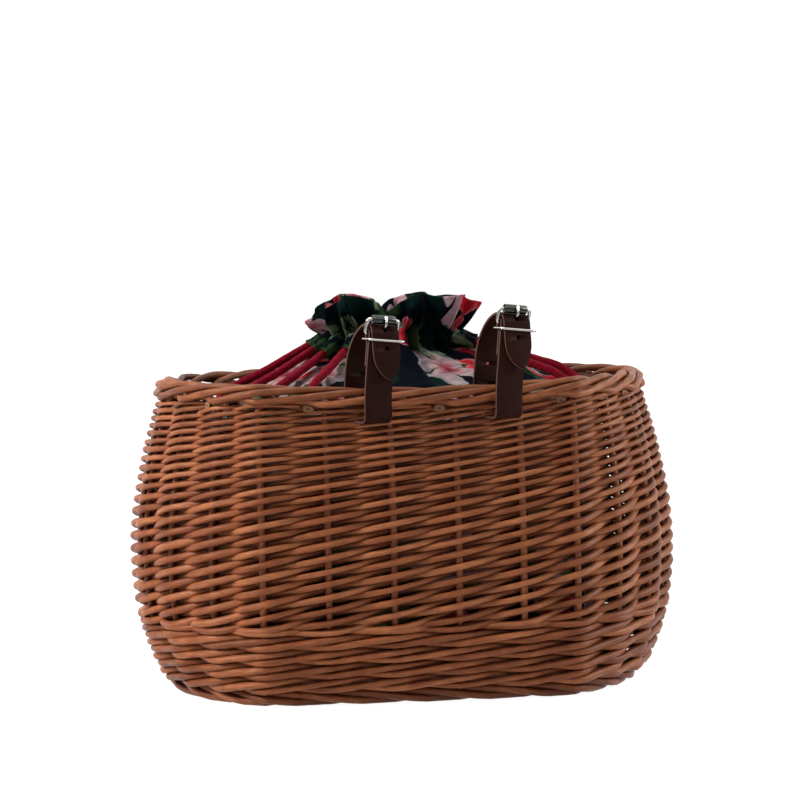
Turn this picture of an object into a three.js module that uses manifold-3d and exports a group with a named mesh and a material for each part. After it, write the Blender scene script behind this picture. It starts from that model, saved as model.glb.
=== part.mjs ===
// Woven willow handlebar basket with two buckled leather straps and a drawstring liner bag.
// Millimetres, +Z up. The strap face looks along -Y and the long side runs along X.
// The origin is on the floor, under the middle of the whole object's box.
import * as THREE from "three";
import { mergeVertices } from "three/addons/utils/BufferGeometryUtils.js";
import Module from "manifold-3d";

const wasm = await Module();
wasm.setup();

// Driving dimensions
const CLEARANCE = 0.3;

// Wall, on the centre lines of the stakes: a barrel whose plan is an ellipse with one flat face
const WALL_TOP = 211;
const BELLY_HEIGHT = 99;
const BASE_HALF_WIDTH = 163;
const BELLY_HALF_WIDTH = 190;
const RIM_HALF_WIDTH = 169;
const BASE_FACE_DEPTH = 100;
const BELLY_FACE_DEPTH = 118;
const RIM_FACE_DEPTH = 107;
const BASE_BACK_DEPTH = 105;
const BELLY_BACK_DEPTH = 128;
const RIM_BACK_DEPTH = 108;
const FACE_HALF_WIDTH = 108.4;
const FACE_CROWN = 4;
const RIM_DIP = 4;
const FOOT_TUCK = 2.4;
const RIM_TUCK = 1.8;
// Heights where the barrel's curve is taken, as shares below the belly and above it
const LOW_LEVELS = [0, 0.26, 0.53, 1].map((share) => share * BELLY_HEIGHT);
const HIGH_LEVELS = [0.35, 0.69, 1, 1.13].map((share) => BELLY_HEIGHT + share * (WALL_TOP - BELLY_HEIGHT));
const LEVELS = [...LOW_LEVELS, ...HIGH_LEVELS];

// Stakes: the first ones stand on the flat face, at a steady pitch from its left corner
const STAKE_COUNT = 25;
const STAKE_RADIUS = 2.6;
const STAKE_SIDES = 4;
const FACE_INTERVALS = 5;
const FACE_PITCH = 44.8;

// Border: each stake's top end as [stake intervals on, outward, above the wall top]. It bends over
// behind its neighbour's end, comes out before the next stake, passes in front of two, goes over the
// top and down inside, and its tail comes out under the border
const BORDER_LAY = [
  [0, 0, -6],
  [0.1, 0.3, -2.2],
  [0.4, 1.2, 1],
  [0.75, 3.4, 0.7],
  [0.97, 6.4, -1.6],
  [1.2, 7.4, -1],
  [1.6, 7.7, 1.8],
  [2, 7.4, 4.2],
  [2.5, 5.8, 7],
  [3, 2.6, 8.8],
  [3.5, -1.4, 8.6],
  [4, -4.8, 5.8],
  [4.3, -5.6, 0.8],
  [4.52, -3, -3.4],
  [4.75, 4.2, -4.7],
];
// A stake's upright part ends this far below the wall top
const BORDER_START = 10;

// Foot: a rope of three twisted rods that the basket stands on, cut flat at the floor
const FOOT_ROPE_RADIUS = 5.6;
const FOOT_STRANDS = 3;
const FOOT_LAY_LENGTH = 48;
const FOOT_FLAT = 0.5;
const FOOT_CENTRE = FOOT_ROPE_RADIUS - FOOT_FLAT;
const FOOT_TOP = FOOT_CENTRE + FOOT_ROPE_RADIUS;
const FOOT_HOLLOW = 0.8;
const STAKE_SEAT_DEPTH = 1.8;

// Gap between neighbouring rows of rods, and the stake at which rows start and end
const ROW_GAP = 0.35;
const SEAM_STAKE = 15;

// Wale: three strands, each outside two stakes and inside the next, in level courses
const WALE_STRANDS = 3;
const WALE_COURSES = 4;
const WALE_PITCH = 10;
const WALE_STEP_INTERVALS = 3;
const WALE_EASE = 0.45;
const WALE_BOTTOM = FOOT_TOP + CLEARANCE;
const WALE_TOP = WALE_BOTTOM + WALE_COURSES * WALE_PITCH;

// Siding: one thin rod that spirals up in front of and behind the stakes in turn
const SIDING_ABOVE_WALE = 4.5;
const SIDING_BELOW_TOP = 8.6;
const SIDING_BOTTOM = WALE_TOP + SIDING_ABOVE_WALE;
const SIDING_TOP = WALL_TOP - SIDING_BELOW_TOP;
const SIDING_LOW_PITCH = 5.7;
const SIDING_HIGH_PITCH = 3.15;
const SIDING_NODES = 4;
const SIDING_EASE = 0.2;
const END_HALF_GAP = 0.08;

// Base: a woven panel on stiff sticks
const BASE_THICKNESS = 5;
const BASE_EDGE_GAP = 0.4;
const BASE_ROD_PITCH = 16;
const BASE_STICK_COUNT = 5;
const BASE_STICK_RADIUS = 3.2;
const BASE_STICK_PITCH = 36;
const BASE_STICK_RAISE = 2;
const BASE_BOTTOM = BASE_STICK_RAISE + 2 * BASE_STICK_RADIUS;

// Straps: leather loops through the weave and round the handlebar
const STRAP_WIDTH = 20;
const STRAP_THICKNESS = 2.2;
const STRAP_YAW = 20 * Math.PI / 180;
const STRAP_LEAN = 6 * Math.PI / 180;
const LEAN_START = 4;
const LEAN_END = 33;
const STRAP_ROW = 32;
const STRAP_SPREAD = 1.9;
const STRAP_SPREAD_REACH = 16;
const STRAP_BEND_RADIUS = 5;
const STRAP_TIP_LENGTH = 15;
const STRAP_TIP_DROP = 25;
const CHAPE_LENGTH = 22;
const STRAP_STEP = 13;
const STRAP_HOLE_RADIUS = 1.5;
const STAKE_TO_STRAP = 1.6;
const FRONT_LEG = -15.5;
const INNER_LEG = 18;
// The fold's cloth of leather closes on itself this far below the heel bar
const FOLD_CLOSE = 7;
// The inner leg starts to bend over to the buckle this far below the roller
const CROWN_START = 36;
const CROWN_SWEEP = 14;
const CROWN_REACH = 13;
const BILLET_HOLE_DROP = 9;
const LEG_HOLE_DROPS = [38, 52, 64];
const LEFT_STRAP = { name: "left", stake: 2, roller: 69.5 };
const RIGHT_STRAP = { name: "right", stake: 4, roller: 74 };

// Buckles. Round pieces are faceted, so they turn with a little more room
const TURNING_GAP = CLEARANCE + 0.1;
const WIRE_RADIUS = 1.25;
const ROLLER_RADIUS = 3;
const ROLLER_LENGTH = 16.6;
const ROLLER_FORWARD = 3;
const HEEL_DROP = 10;
const FRAME_HALF_WIDTH = 13;
const PRONG_RADIUS = 1;
const PRONG_SWING = 14 * Math.PI / 180;
// Where the prong passes through the billet, as an angle round the heel bar
const PRONG_CROSSING = 140 * Math.PI / 180;
const PRONG_BEND_DROP = 3.2;
const PRONG_TIP_RISE = 2.7;
const PRONG_TIP_CURL = 0.9;
const PRONG_SLOT_WIDTH = 5.2;
const PRONG_SLOT_EASE = 0.4;
const KEEPER_WIRE_RADIUS = 0.85;
const KEEPER_DROP = 3.8;
const KEEPER_SIDE_EASE = 0.3;
const KEEPER_FRONT_EASE = 0.2;
const KEEPER_CORNER = 1.6;

// Liner bag, gathered shut at the neck
const CLOTH = 1.8;
const LINER_FLOOR = BASE_BOTTOM + BASE_THICKNESS + CLEARANCE;
// The filled bag stays this far inside the rim's stakes, so that it lifts out past the border
const LINER_SIDE_EASE = 26;
const LINER_FACE_EASE = 28;
const LINER_BACK_EASE = 19;
const LINER_HALF_WIDTH = RIM_HALF_WIDTH - LINER_SIDE_EASE;
const LINER_FRONT_Y = LINER_FACE_EASE - RIM_FACE_DEPTH;
const LINER_BACK_Y = RIM_BACK_DEPTH - LINER_BACK_EASE;
const LINER_HALF_DEPTH = (LINER_BACK_Y - LINER_FRONT_Y) / 2;
const LINER_MIDDLE_Y = (LINER_BACK_Y + LINER_FRONT_Y) / 2;
// Exponent of the bag's rounded plan, where 2 is an ellipse
const BAG_SQUARE = 2.5;
const FLOOR_INSET = 10;
const FLOOR_CORNER = 6;
const FLOOR_CORNER_INSET = 1.5;
const SHOULDER_FALL = 56;
const NECK_ABOVE_WALL = 32;
const NECK_HEIGHT = WALL_TOP + NECK_ABOVE_WALL;
const NECK_HALF_WIDTH = 50;
const NECK_HALF_DEPTH = 20;
const NECK_X = -4;
const SLIT_HALF_WIDTH = 30;
const SLIT_HALF_DEPTH = 6;
const SLIT_DEPTH = 8;
const NECK_PLEAT = 0.06;
const RUFFLE_HEIGHT = 37;
const RUFFLE_TOP = NECK_HEIGHT + RUFFLE_HEIGHT;
const RUFFLE_FLARE_X = 15;
const RUFFLE_FLARE_Y = 9;
const RUFFLE_PLEAT = 0.05;
const RUFFLE_NOTCH = 14;
const RUFFLE_NOTCH_X = -12;
const RUFFLE_NOTCH_WIDTH = 11;
const LINER_SEGMENTS = 24;
const PLEATS = 6;
const CORD_RADIUS = 3;

// Solids from rings and booleans

// The mesh with its shared vertices merged and its faces turned outwards
function closedGeometry(geometry) {
  const bare = geometry.clone();
  bare.deleteAttribute("normal");
  bare.deleteAttribute("uv");
  const merged = mergeVertices(bare, 1e-4);
  const index = merged.index.array;
  if (signedVolume(merged.attributes.position, index) < 0) {
    for (let i = 0; i < index.length; i += 3) {
      [index[i], index[i + 1]] = [index[i + 1], index[i]];
    }
  }
  merged.computeVertexNormals();
  return merged;
}

function signedVolume(position, index) {
  const [a, b, c] = [new THREE.Vector3(), new THREE.Vector3(), new THREE.Vector3()];
  let volume = 0;
  for (let i = 0; i < index.length; i += 3) {
    a.fromBufferAttribute(position, index[i]);
    b.fromBufferAttribute(position, index[i + 1]);
    c.fromBufferAttribute(position, index[i + 2]);
    volume += a.dot(b.cross(c)) / 6;
  }
  return volume;
}

// A skin over rings of equal point count, capped at both ends or joined into a loop
function skin(rings, loop = false) {
  const sides = rings[0].length;
  const index = [];
  const spans = loop ? rings.length : rings.length - 1;
  for (let i = 0; i < spans; i++) {
    const low = i * sides;
    const high = ((i + 1) % rings.length) * sides;
    for (let j = 0; j < sides; j++) {
      const k = (j + 1) % sides;
      index.push(low + j, low + k, high + j, low + k, high + k, high + j);
    }
  }
  if (!loop) {
    const last = (rings.length - 1) * sides;
    for (let j = 1; j < sides - 1; j++) {
      index.push(0, j + 1, j, last, last + j, last + j + 1);
    }
  }
  const geometry = new THREE.BufferGeometry().setFromPoints(rings.flat());
  geometry.setIndex(index);
  return closedGeometry(geometry);
}

// A rod through stations of { point, out, radius }, its first corner facing out
function rod(stations, sides, loop = false) {
  const count = stations.length;
  const rings = stations.map(({ point, out, radius }, i) => {
    const before = stations[loop ? (i + count - 1) % count : Math.max(i - 1, 0)].point;
    const after = stations[loop ? (i + 1) % count : Math.min(i + 1, count - 1)].point;
    const along = after.clone().sub(before).normalize();
    const outward = out.clone().addScaledVector(along, -out.dot(along)).normalize();
    const across = along.clone().cross(outward);
    return Array.from({ length: sides }, (_, j) => {
      const angle = 2 * Math.PI * j / sides;
      return point.clone()
        .addScaledVector(outward, radius * Math.cos(angle))
        .addScaledVector(across, radius * Math.sin(angle));
    });
  });
  return skin(rings, loop);
}

function toManifold(geometry) {
  const merged = closedGeometry(geometry);
  return new wasm.Manifold(new wasm.Mesh({
    numProp: 3,
    vertProperties: Float32Array.from(merged.attributes.position.array),
    triVerts: Uint32Array.from(merged.index.array),
  }));
}

function fromManifold(manifold) {
  const mesh = manifold.getMesh();
  const geometry = new THREE.BufferGeometry();
  geometry.setAttribute("position", new THREE.BufferAttribute(mesh.vertProperties, 3));
  geometry.setIndex(new THREE.BufferAttribute(mesh.triVerts, 1));
  return closedGeometry(geometry);
}

function smoothstep(low, high, value) {
  const share = THREE.MathUtils.clamp((value - low) / (high - low), 0, 1);
  return share * share * (3 - 2 * share);
}

// The wall's shape

function barrel(z, base, belly, rim) {
  if (z < BELLY_HEIGHT) {
    return belly - (belly - base) * Math.pow(1 - z / BELLY_HEIGHT, FOOT_TUCK);
  }
  return belly - (belly - rim) * Math.pow((z - BELLY_HEIGHT) / (WALL_TOP - BELLY_HEIGHT), RIM_TUCK);
}

function betweenLevels(z, base, belly, rim) {
  const step = Math.max(LEVELS.findIndex((level) => level >= z), 1);
  const [low, high] = [LEVELS[step - 1], LEVELS[step]];
  const share = (z - low) / (high - low);
  return THREE.MathUtils.lerp(barrel(low, base, belly, rim), barrel(high, base, belly, rim), share);
}

// The plan at one height: half width, face and back depth, and the front ellipse behind the face
function outline(z) {
  const width = betweenLevels(z, BASE_HALF_WIDTH, BELLY_HALF_WIDTH, RIM_HALF_WIDTH);
  const face = betweenLevels(z, BASE_FACE_DEPTH, BELLY_FACE_DEPTH, RIM_FACE_DEPTH);
  const back = betweenLevels(z, BASE_BACK_DEPTH, BELLY_BACK_DEPTH, RIM_BACK_DEPTH);
  const front = face / Math.sqrt(1 - (FACE_HALF_WIDTH / width) ** 2);
  const cornerAngle = Math.acos(FACE_HALF_WIDTH / width);
  return { width, face, back, front, cornerAngle };
}

function ellipsePoint(plan, angle) {
  const depth = Math.sin(angle) > 0 ? plan.back : plan.front;
  return new THREE.Vector2(plan.width * Math.cos(angle), depth * Math.sin(angle));
}

// Angles of the stakes round the ends and the back, at equal steps of arc at the belly
const BELLY_PLAN = outline(BELLY_HEIGHT);
const END_INTERVALS = STAKE_COUNT - FACE_INTERVALS;
const STAKE_ANGLES = equalArcAngles(BELLY_PLAN, END_INTERVALS);

function equalArcAngles(plan, intervals) {
  const samples = 2000;
  const start = -plan.cornerAngle;
  const sweep = Math.PI + 2 * plan.cornerAngle;
  const lengths = [0];
  let previous = ellipsePoint(plan, start);
  for (let i = 1; i <= samples; i++) {
    const next = ellipsePoint(plan, start + sweep * i / samples);
    lengths.push(lengths[i - 1] + next.distanceTo(previous));
    previous = next;
  }
  return Array.from({ length: intervals + 1 }, (_, k) => {
    const wanted = lengths[samples] * k / intervals;
    const found = lengths.findIndex((length) => length >= wanted - 1e-9);
    return start + sweep * found / samples;
  });
}

// Plan point at a place round the wall, counted in stake intervals from the face's left corner
function planPoint(place, z) {
  const plan = outline(z);
  const turn = THREE.MathUtils.euclideanModulo(place, STAKE_COUNT);
  if (turn <= FACE_INTERVALS) {
    const x = faceX(turn);
    return new THREE.Vector2(x, -plan.face - FACE_CROWN * (1 - (x / FACE_HALF_WIDTH) ** 2));
  }
  const step = Math.min(Math.floor(turn - FACE_INTERVALS), END_INTERVALS - 1);
  const share = turn - FACE_INTERVALS - step;
  return endStakePoint(plan, step).lerp(endStakePoint(plan, step + 1), share);
}

// Where a stake past the face stands in a plan. The rods run straight from one to the next
function endStakePoint(plan, step) {
  const angle = STAKE_ANGLES[step];
  const squeeze = plan.cornerAngle / BELLY_PLAN.cornerAngle;
  if (angle < 0) return ellipsePoint(plan, angle * squeeze);
  if (angle > Math.PI) return ellipsePoint(plan, Math.PI + (angle - Math.PI) * squeeze);
  return ellipsePoint(plan, angle);
}

function faceX(turn) {
  const lastStep = FACE_INTERVALS - 1;
  const lastX = -FACE_HALF_WIDTH + FACE_PITCH * lastStep;
  if (turn <= lastStep) return -FACE_HALF_WIDTH + FACE_PITCH * turn;
  return THREE.MathUtils.lerp(lastX, FACE_HALF_WIDTH, turn - lastStep);
}

function outwardAt(place, z) {
  const along = planPoint(place + 0.2, z).sub(planPoint(place - 0.2, z)).normalize();
  return new THREE.Vector3(along.y, -along.x, 0);
}

// The rim sinks a little towards the middle of the face, and the rows below it follow
function dip(place, z) {
  const turn = THREE.MathUtils.euclideanModulo(place, STAKE_COUNT);
  if (turn > FACE_INTERVALS) return 0;
  return RIM_DIP * (1 - (faceX(turn) / FACE_HALF_WIDTH) ** 2) * (z / WALL_TOP) ** 2;
}

// A station on the wall, moved square to it from the stakes' centre lines
function wallStation(place, z, outward, radius) {
  const plan = planPoint(place, z);
  const rise = 2;
  const growth = planPoint(place, z + rise).sub(planPoint(place, z - rise));
  const out = outwardAt(place, z);
  const slope = (growth.x * out.x + growth.y * out.y) / (2 * rise);
  out.z = -slope;
  out.normalize();
  const point = new THREE.Vector3(plan.x, plan.y, z - dip(place, z)).addScaledVector(out, outward);
  return { point, out, radius };
}

// Offsets that take a three-sided rod past a stake, outside and inside
function outsideOffset(radius, ease) {
  return STAKE_RADIUS + radius / 2 + CLEARANCE + ease;
}

function insideOffset(radius, ease) {
  return -(STAKE_RADIUS + radius + CLEARANCE + ease);
}

// Stakes and border

function stakeStations(index) {
  const foot = FOOT_TOP - STAKE_SEAT_DEPTH;
  const levels = LEVELS.filter((level) => level > foot && level < WALL_TOP - BORDER_START);
  const upright = [foot, ...levels].map((z) => wallStation(index, z, 0, STAKE_RADIUS));
  const bent = BORDER_LAY.map(
    ([onward, outward, above]) => wallStation(index + onward, WALL_TOP + above, outward, STAKE_RADIUS));
  return [...upright, ...bent];
}

// Siding

const SIDING_SLOPE = (SIDING_HIGH_PITCH - SIDING_LOW_PITCH) / (SIDING_TOP - SIDING_BOTTOM);
const SIDING_ROWS = Math.log(SIDING_HIGH_PITCH / SIDING_LOW_PITCH) / SIDING_SLOPE;

// Height of the spiral after a number of stake intervals, before it parts round the straps
function evenHeight(run) {
  const growth = Math.expm1(SIDING_SLOPE * run / STAKE_COUNT);
  return SIDING_BOTTOM + SIDING_LOW_PITCH * growth / SIDING_SLOPE;
}

// The spiral's run from its start at the seam to a stake place in a given row
function runAt(row, place) {
  return row * STAKE_COUNT + THREE.MathUtils.euclideanModulo(place - SEAM_STAKE, STAKE_COUNT);
}

// Rows part by this much to leave the slot that the straps pass through
function spread(run) {
  const place = THREE.MathUtils.euclideanModulo(run + SEAM_STAKE, STAKE_COUNT);
  const nearStraps = Math.min(place, 1) * THREE.MathUtils.clamp(FACE_INTERVALS - place, 0, 1);
  const fromSlot = evenHeight(run) - evenHeight(runAt(STRAP_ROW + 0.5, place));
  const fade = Math.max(0, 1 - Math.abs(fromSlot) / STRAP_SPREAD_REACH);
  return STRAP_SPREAD * nearStraps * fade * Math.sign(fromSlot);
}

function rowHeight(run) {
  return evenHeight(run) + spread(run);
}

// The rod is as thick as the tighter of its two neighbouring rows allows
function rowRadius(run) {
  const above = rowHeight(run + STAKE_COUNT) - rowHeight(run);
  const below = rowHeight(run) - rowHeight(run - STAKE_COUNT);
  return (Math.min(above, below) - ROW_GAP) / Math.sqrt(3);
}

function sidingStation(run) {
  const radius = rowRadius(run);
  const whole = Math.round(run);
  const side = whole % 2 === 0 ? outsideOffset(radius, SIDING_EASE) : insideOffset(radius, SIDING_EASE);
  return wallStation(run + SEAM_STAKE, rowHeight(run), side, radius);
}

// One length of the spiral, from just past one inside crossing to just before another
function sidingLength(first, last) {
  const stations = [sidingStation(first + END_HALF_GAP)];
  for (let run = first + 1; run < last; run++) {
    stations.push(sidingStation(run));
  }
  stations.push(sidingStation(last - END_HALF_GAP));
  return stations;
}

// Wale

function waleHeight(run) {
  const course = Math.floor(run / STAKE_COUNT);
  const place = run - course * STAKE_COUNT;
  const climb = Math.max(0, place - (STAKE_COUNT - WALE_STEP_INTERVALS)) / WALE_STEP_INTERVALS;
  return WALE_BOTTOM + WALE_PITCH * (0.5 + course + climb);
}

// A strand rises outside past two stakes, drops inside behind the third and comes out again
function waleStations(strand) {
  const radius = (WALE_PITCH / 2 - ROW_GAP) / Math.sqrt(3);
  const quarter = WALE_PITCH / 4;
  const lastRun = STAKE_COUNT * WALE_COURSES - WALE_STEP_INTERVALS;
  const stations = [];
  for (let run = 0; run < lastRun; run++) {
    const phase = (run + strand) % WALE_STRANDS;
    const place = run + SEAM_STAKE;
    const z = waleHeight(run);
    const between = (waleHeight(run) + waleHeight(run + 1)) / 2;
    if (phase === 0) {
      stations.push(wallStation(place, z, insideOffset(radius, WALE_EASE), radius));
      stations.push(wallStation(place + 0.5, between - quarter, 0, radius));
    } else if (phase === 1) {
      stations.push(wallStation(place, z - quarter, outsideOffset(radius, WALE_EASE), radius));
    } else {
      stations.push(wallStation(place, z + quarter, outsideOffset(radius, WALE_EASE), radius));
      stations.push(wallStation(place + 0.5, between + quarter, 0, radius));
    }
  }
  return stations;
}

// Foot and base

function footPath() {
  const points = [];
  const steps = STAKE_COUNT * 2;
  for (let i = 0; i < steps; i++) {
    const plan = planPoint(STAKE_COUNT * i / steps, FOOT_CENTRE);
    points.push(new THREE.Vector3(plan.x, plan.y, FOOT_CENTRE));
  }
  return points;
}

function footRing() {
  const path = footPath();
  const length = path.reduce((sum, point, i) => sum + point.distanceTo(path[(i + 1) % path.length]), 0);
  const twists = Math.round(length / FOOT_LAY_LENGTH);
  const corners = FOOT_STRANDS * 2;
  const rings = path.map((point, i) => {
    const before = path[(i + path.length - 1) % path.length];
    const after = path[(i + 1) % path.length];
    const along = after.clone().sub(before).normalize();
    const up = new THREE.Vector3(0, 0, 1);
    const out = along.clone().cross(up);
    const turn = 2 * Math.PI * twists * i / path.length / FOOT_STRANDS;
    return Array.from({ length: corners }, (_, j) => {
      const angle = turn + 2 * Math.PI * j / corners;
      const reach = j % 2 === 0 ? FOOT_ROPE_RADIUS : FOOT_ROPE_RADIUS * FOOT_HOLLOW;
      return point.clone()
        .addScaledVector(out, reach * Math.cos(angle))
        .addScaledVector(up, reach * Math.sin(angle));
    });
  });
  // After all its twists the rope meets itself a whole number of strands on
  const shift = (twists % FOOT_STRANDS) * 2;
  let ring = toManifold(ropeSkin(rings, shift));
  for (let i = 0; i < STAKE_COUNT; i++) {
    ring = ring.subtract(toManifold(stakeSocket(i)));
  }
  const floor = new THREE.BoxGeometry(4 * BASE_HALF_WIDTH, 4 * BASE_HALF_WIDTH, 2 * FOOT_ROPE_RADIUS);
  floor.translate(0, 0, -FOOT_ROPE_RADIUS);
  return fromManifold(ring.subtract(toManifold(floor)));
}

// The space in the foot rope that a stake's lower end stands in, clear of its flat sides
function stakeSocket(index) {
  const radius = STAKE_RADIUS + CLEARANCE / Math.cos(Math.PI / STAKE_SIDES);
  const heights = [FOOT_TOP - STAKE_SEAT_DEPTH - CLEARANCE, FOOT_TOP + STAKE_RADIUS];
  return rod(heights.map((z) => wallStation(index, z, 0, radius)), STAKE_SIDES);
}

// The rings joined into a loop, the last to the first turned by a number of corners
function ropeSkin(rings, shift) {
  const sides = rings[0].length;
  const index = [];
  rings.forEach((_, i) => {
    const wrap = i === rings.length - 1;
    const low = i * sides;
    const high = wrap ? 0 : (i + 1) * sides;
    for (let j = 0; j < sides; j++) {
      const k = (j + 1) % sides;
      const [a, b] = wrap ? [(j + shift) % sides, (k + shift) % sides] : [j, k];
      index.push(low + j, low + k, high + a, low + k, high + b, high + a);
    }
  });
  const geometry = new THREE.BufferGeometry().setFromPoints(rings.flat());
  geometry.setIndex(index);
  return closedGeometry(geometry);
}

// The plan of the base, inside the foot rope
function baseShape() {
  const inset = FOOT_ROPE_RADIUS + BASE_EDGE_GAP;
  const points = [];
  for (let place = 0; place < STAKE_COUNT; place += 0.5) {
    const plan = planPoint(place, FOOT_CENTRE);
    const out = outwardAt(place, FOOT_CENTRE);
    points.push(new THREE.Vector2(plan.x - out.x * inset, plan.y - out.y * inset));
  }
  return new THREE.Shape(points);
}

// How far the base reaches along X at one depth
function baseReach(y) {
  const points = baseShape().getPoints();
  const crossings = points.map((point, i) => {
    const next = points[(i + 1) % points.length];
    const share = (y - point.y) / (next.y - point.y);
    return share >= 0 && share <= 1 ? point.x + share * (next.x - point.x) : 0;
  });
  return Math.min(Math.max(...crossings), -Math.min(...crossings));
}

// A ribbed slab: the rods of the base lie side by side across the sticks
function baseWeave() {
  const half = BASE_HALF_WIDTH;
  const groove = BASE_THICKNESS / 4;
  const count = Math.ceil(2 * half / BASE_ROD_PITCH);
  const top = [];
  const bottom = [];
  for (let i = 0; i <= 2 * count; i++) {
    const x = -half + i * BASE_ROD_PITCH / 2;
    const depth = i % 2 === 0 ? groove : 0;
    top.push(new THREE.Vector2(x, BASE_BOTTOM + BASE_THICKNESS - depth));
    bottom.push(new THREE.Vector2(x, BASE_BOTTOM + depth));
  }
  const section = new THREE.Shape([...bottom, ...top.reverse()]);
  const ribs = new THREE.ExtrudeGeometry(section, { depth: 4 * half, bevelEnabled: false });
  ribs.rotateX(Math.PI / 2).translate(0, 2 * half, 0);
  const disc = new THREE.ExtrudeGeometry(baseShape(), { depth: 4 * BASE_THICKNESS, bevelEnabled: false });
  return fromManifold(toManifold(ribs).intersect(toManifold(disc)));
}

// A base stick lies along X under the woven panel, between the inner sides of the foot rope
function baseStick(index) {
  const y = BASE_STICK_PITCH * (index - (BASE_STICK_COUNT - 1) / 2);
  const reach = baseReach(y + Math.sign(y) * BASE_STICK_RADIUS);
  const stick = new THREE.CylinderGeometry(BASE_STICK_RADIUS, BASE_STICK_RADIUS, 2 * reach, 6);
  stick.rotateZ(Math.PI / 2);
  return { geometry: closedGeometry(stick), y, z: BASE_BOTTOM - CLEARANCE - BASE_STICK_RADIUS };
}

// Straps, in a frame of their own: x along the width, y inwards, z up from the slot in the weave

const FOLD_RADIUS = WIRE_RADIUS + TURNING_GAP + STRAP_THICKNESS / 2;

// The buckle's two bars and where the billet lies round them, for one height of the roller
function buckleLayout(rollerHeight) {
  const heel = new THREE.Vector2(FRONT_LEG + FOLD_RADIUS, rollerHeight - HEEL_DROP);
  const roller = new THREE.Vector2(heel.x - ROLLER_FORWARD, rollerHeight);
  const overRoller = ROLLER_RADIUS + TURNING_GAP + STRAP_THICKNESS / 2;
  const billetRadius = heel.distanceTo(roller) - overRoller;
  const frameAngle = Math.atan2(roller.y - heel.y, roller.x - heel.x);
  return { heel, roller, billetRadius, frameAngle };
}

// The strap's centre line from the folded chape, down and through the wall, to the hanging tip
function strapPath({ heel, billetRadius, frameAngle }) {
  const chape = FRONT_LEG + STRAP_THICKNESS + TURNING_GAP;
  const foldIn = heel.x + FOLD_RADIUS;
  const path = new THREE.Path();
  path.moveTo(chape, heel.y - CHAPE_LENGTH);
  const closed = heel.y - FOLD_CLOSE;
  const halfway = heel.y - FOLD_CLOSE * 0.6;
  path.lineTo(chape, closed);
  path.bezierCurveTo(chape, halfway, foldIn, halfway, foldIn, heel.y);
  path.absarc(heel.x, heel.y, FOLD_RADIUS, 0, Math.PI, false);
  straightRun(path, FRONT_LEG, heel.y, STRAP_BEND_RADIUS);
  const bend = STRAP_BEND_RADIUS;
  path.absarc(FRONT_LEG + bend, bend, bend, Math.PI, 1.5 * Math.PI, false);
  path.lineTo(INNER_LEG - bend, 0);
  path.absarc(INNER_LEG - bend, bend, bend, -Math.PI / 2, 0, false);
  const crown = heel.y + HEEL_DROP;
  straightRun(path, INNER_LEG, bend, crown - CROWN_START);
  const meetX = heel.x + billetRadius * Math.cos(frameAngle);
  const meetY = heel.y + billetRadius * Math.sin(frameAngle);
  const beforeX = meetX + CROWN_REACH * Math.sin(frameAngle);
  const beforeY = meetY - CROWN_REACH * Math.cos(frameAngle);
  path.bezierCurveTo(INNER_LEG, crown - CROWN_SWEEP, beforeX, beforeY, meetX, meetY);
  path.absarc(heel.x, heel.y, billetRadius, frameAngle, Math.PI, false);
  straightRun(path, heel.x - billetRadius, heel.y, heel.y - STRAP_TIP_DROP);
  const points = path.getPoints(3);
  return points.filter((point, i) => i === 0 || point.distanceTo(points[i - 1]) > 0.05);
}

// A straight leg in short steps, so that it can lean
function straightRun(path, x, from, to) {
  const steps = Math.ceil(Math.abs(to - from) / STRAP_STEP);
  for (let i = 1; i <= steps; i++) {
    path.lineTo(x, from + (to - from) * i / steps);
  }
}

// The strap's section: its centre line thickened to both sides
function ribbonShape(points, thickness) {
  const sides = [[], []];
  points.forEach((point, i) => {
    const before = points[Math.max(i - 1, 0)];
    const after = points[Math.min(i + 1, points.length - 1)];
    const into = point.clone().sub(before).normalize();
    const outOf = after.clone().sub(point).normalize();
    const along = into.add(outOf).normalize();
    const half = thickness / 2;
    sides[0].push(new THREE.Vector2(point.x - along.y * half, point.y + along.x * half));
    sides[1].push(new THREE.Vector2(point.x + along.y * half, point.y - along.x * half));
  });
  return new THREE.Shape([...sides[0], ...sides[1].reverse()]);
}

// From a drawing plane (inwards, up) and its depth to the strap's frame
const TO_STRAP = new THREE.Matrix4().makeBasis(
  new THREE.Vector3(0, 1, 0), new THREE.Vector3(0, 0, 1), new THREE.Vector3(1, 0, 0));

function acrossStrap(shape, width) {
  const geometry = new THREE.ExtrudeGeometry(shape, { depth: width, bevelEnabled: false });
  return geometry.translate(0, 0, -width / 2).applyMatrix4(TO_STRAP);
}

function strapGeometry(layout) {
  const { heel, billetRadius } = layout;
  const ribbon = ribbonShape(strapPath(layout), STRAP_THICKNESS);
  let strap = toManifold(acrossStrap(ribbon, STRAP_WIDTH));
  strap = strap.subtract(prongSlot(heel));
  strap = strap.subtract(prongHole(layout));
  strap = strap.subtract(tipOffcut(heel, billetRadius));
  strap = strap.subtract(punch(heel.x - billetRadius, heel.y - BILLET_HOLE_DROP));
  LEG_HOLE_DROPS.forEach((drop) => {
    strap = strap.subtract(punch(INNER_LEG, heel.y + HEEL_DROP - drop));
  });
  return leanGeometry(fromManifold(strap));
}

// The cut that lets the prong's eye turn inside the fold
function prongSlot(heel) {
  const radius = FOLD_RADIUS + STRAP_THICKNESS / 2 + PRONG_SLOT_EASE;
  const cut = new THREE.CylinderGeometry(radius, radius, PRONG_SLOT_WIDTH, 10);
  cut.rotateZ(Math.PI / 2).translate(0, heel.x, heel.y);
  return toManifold(cut);
}

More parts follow.
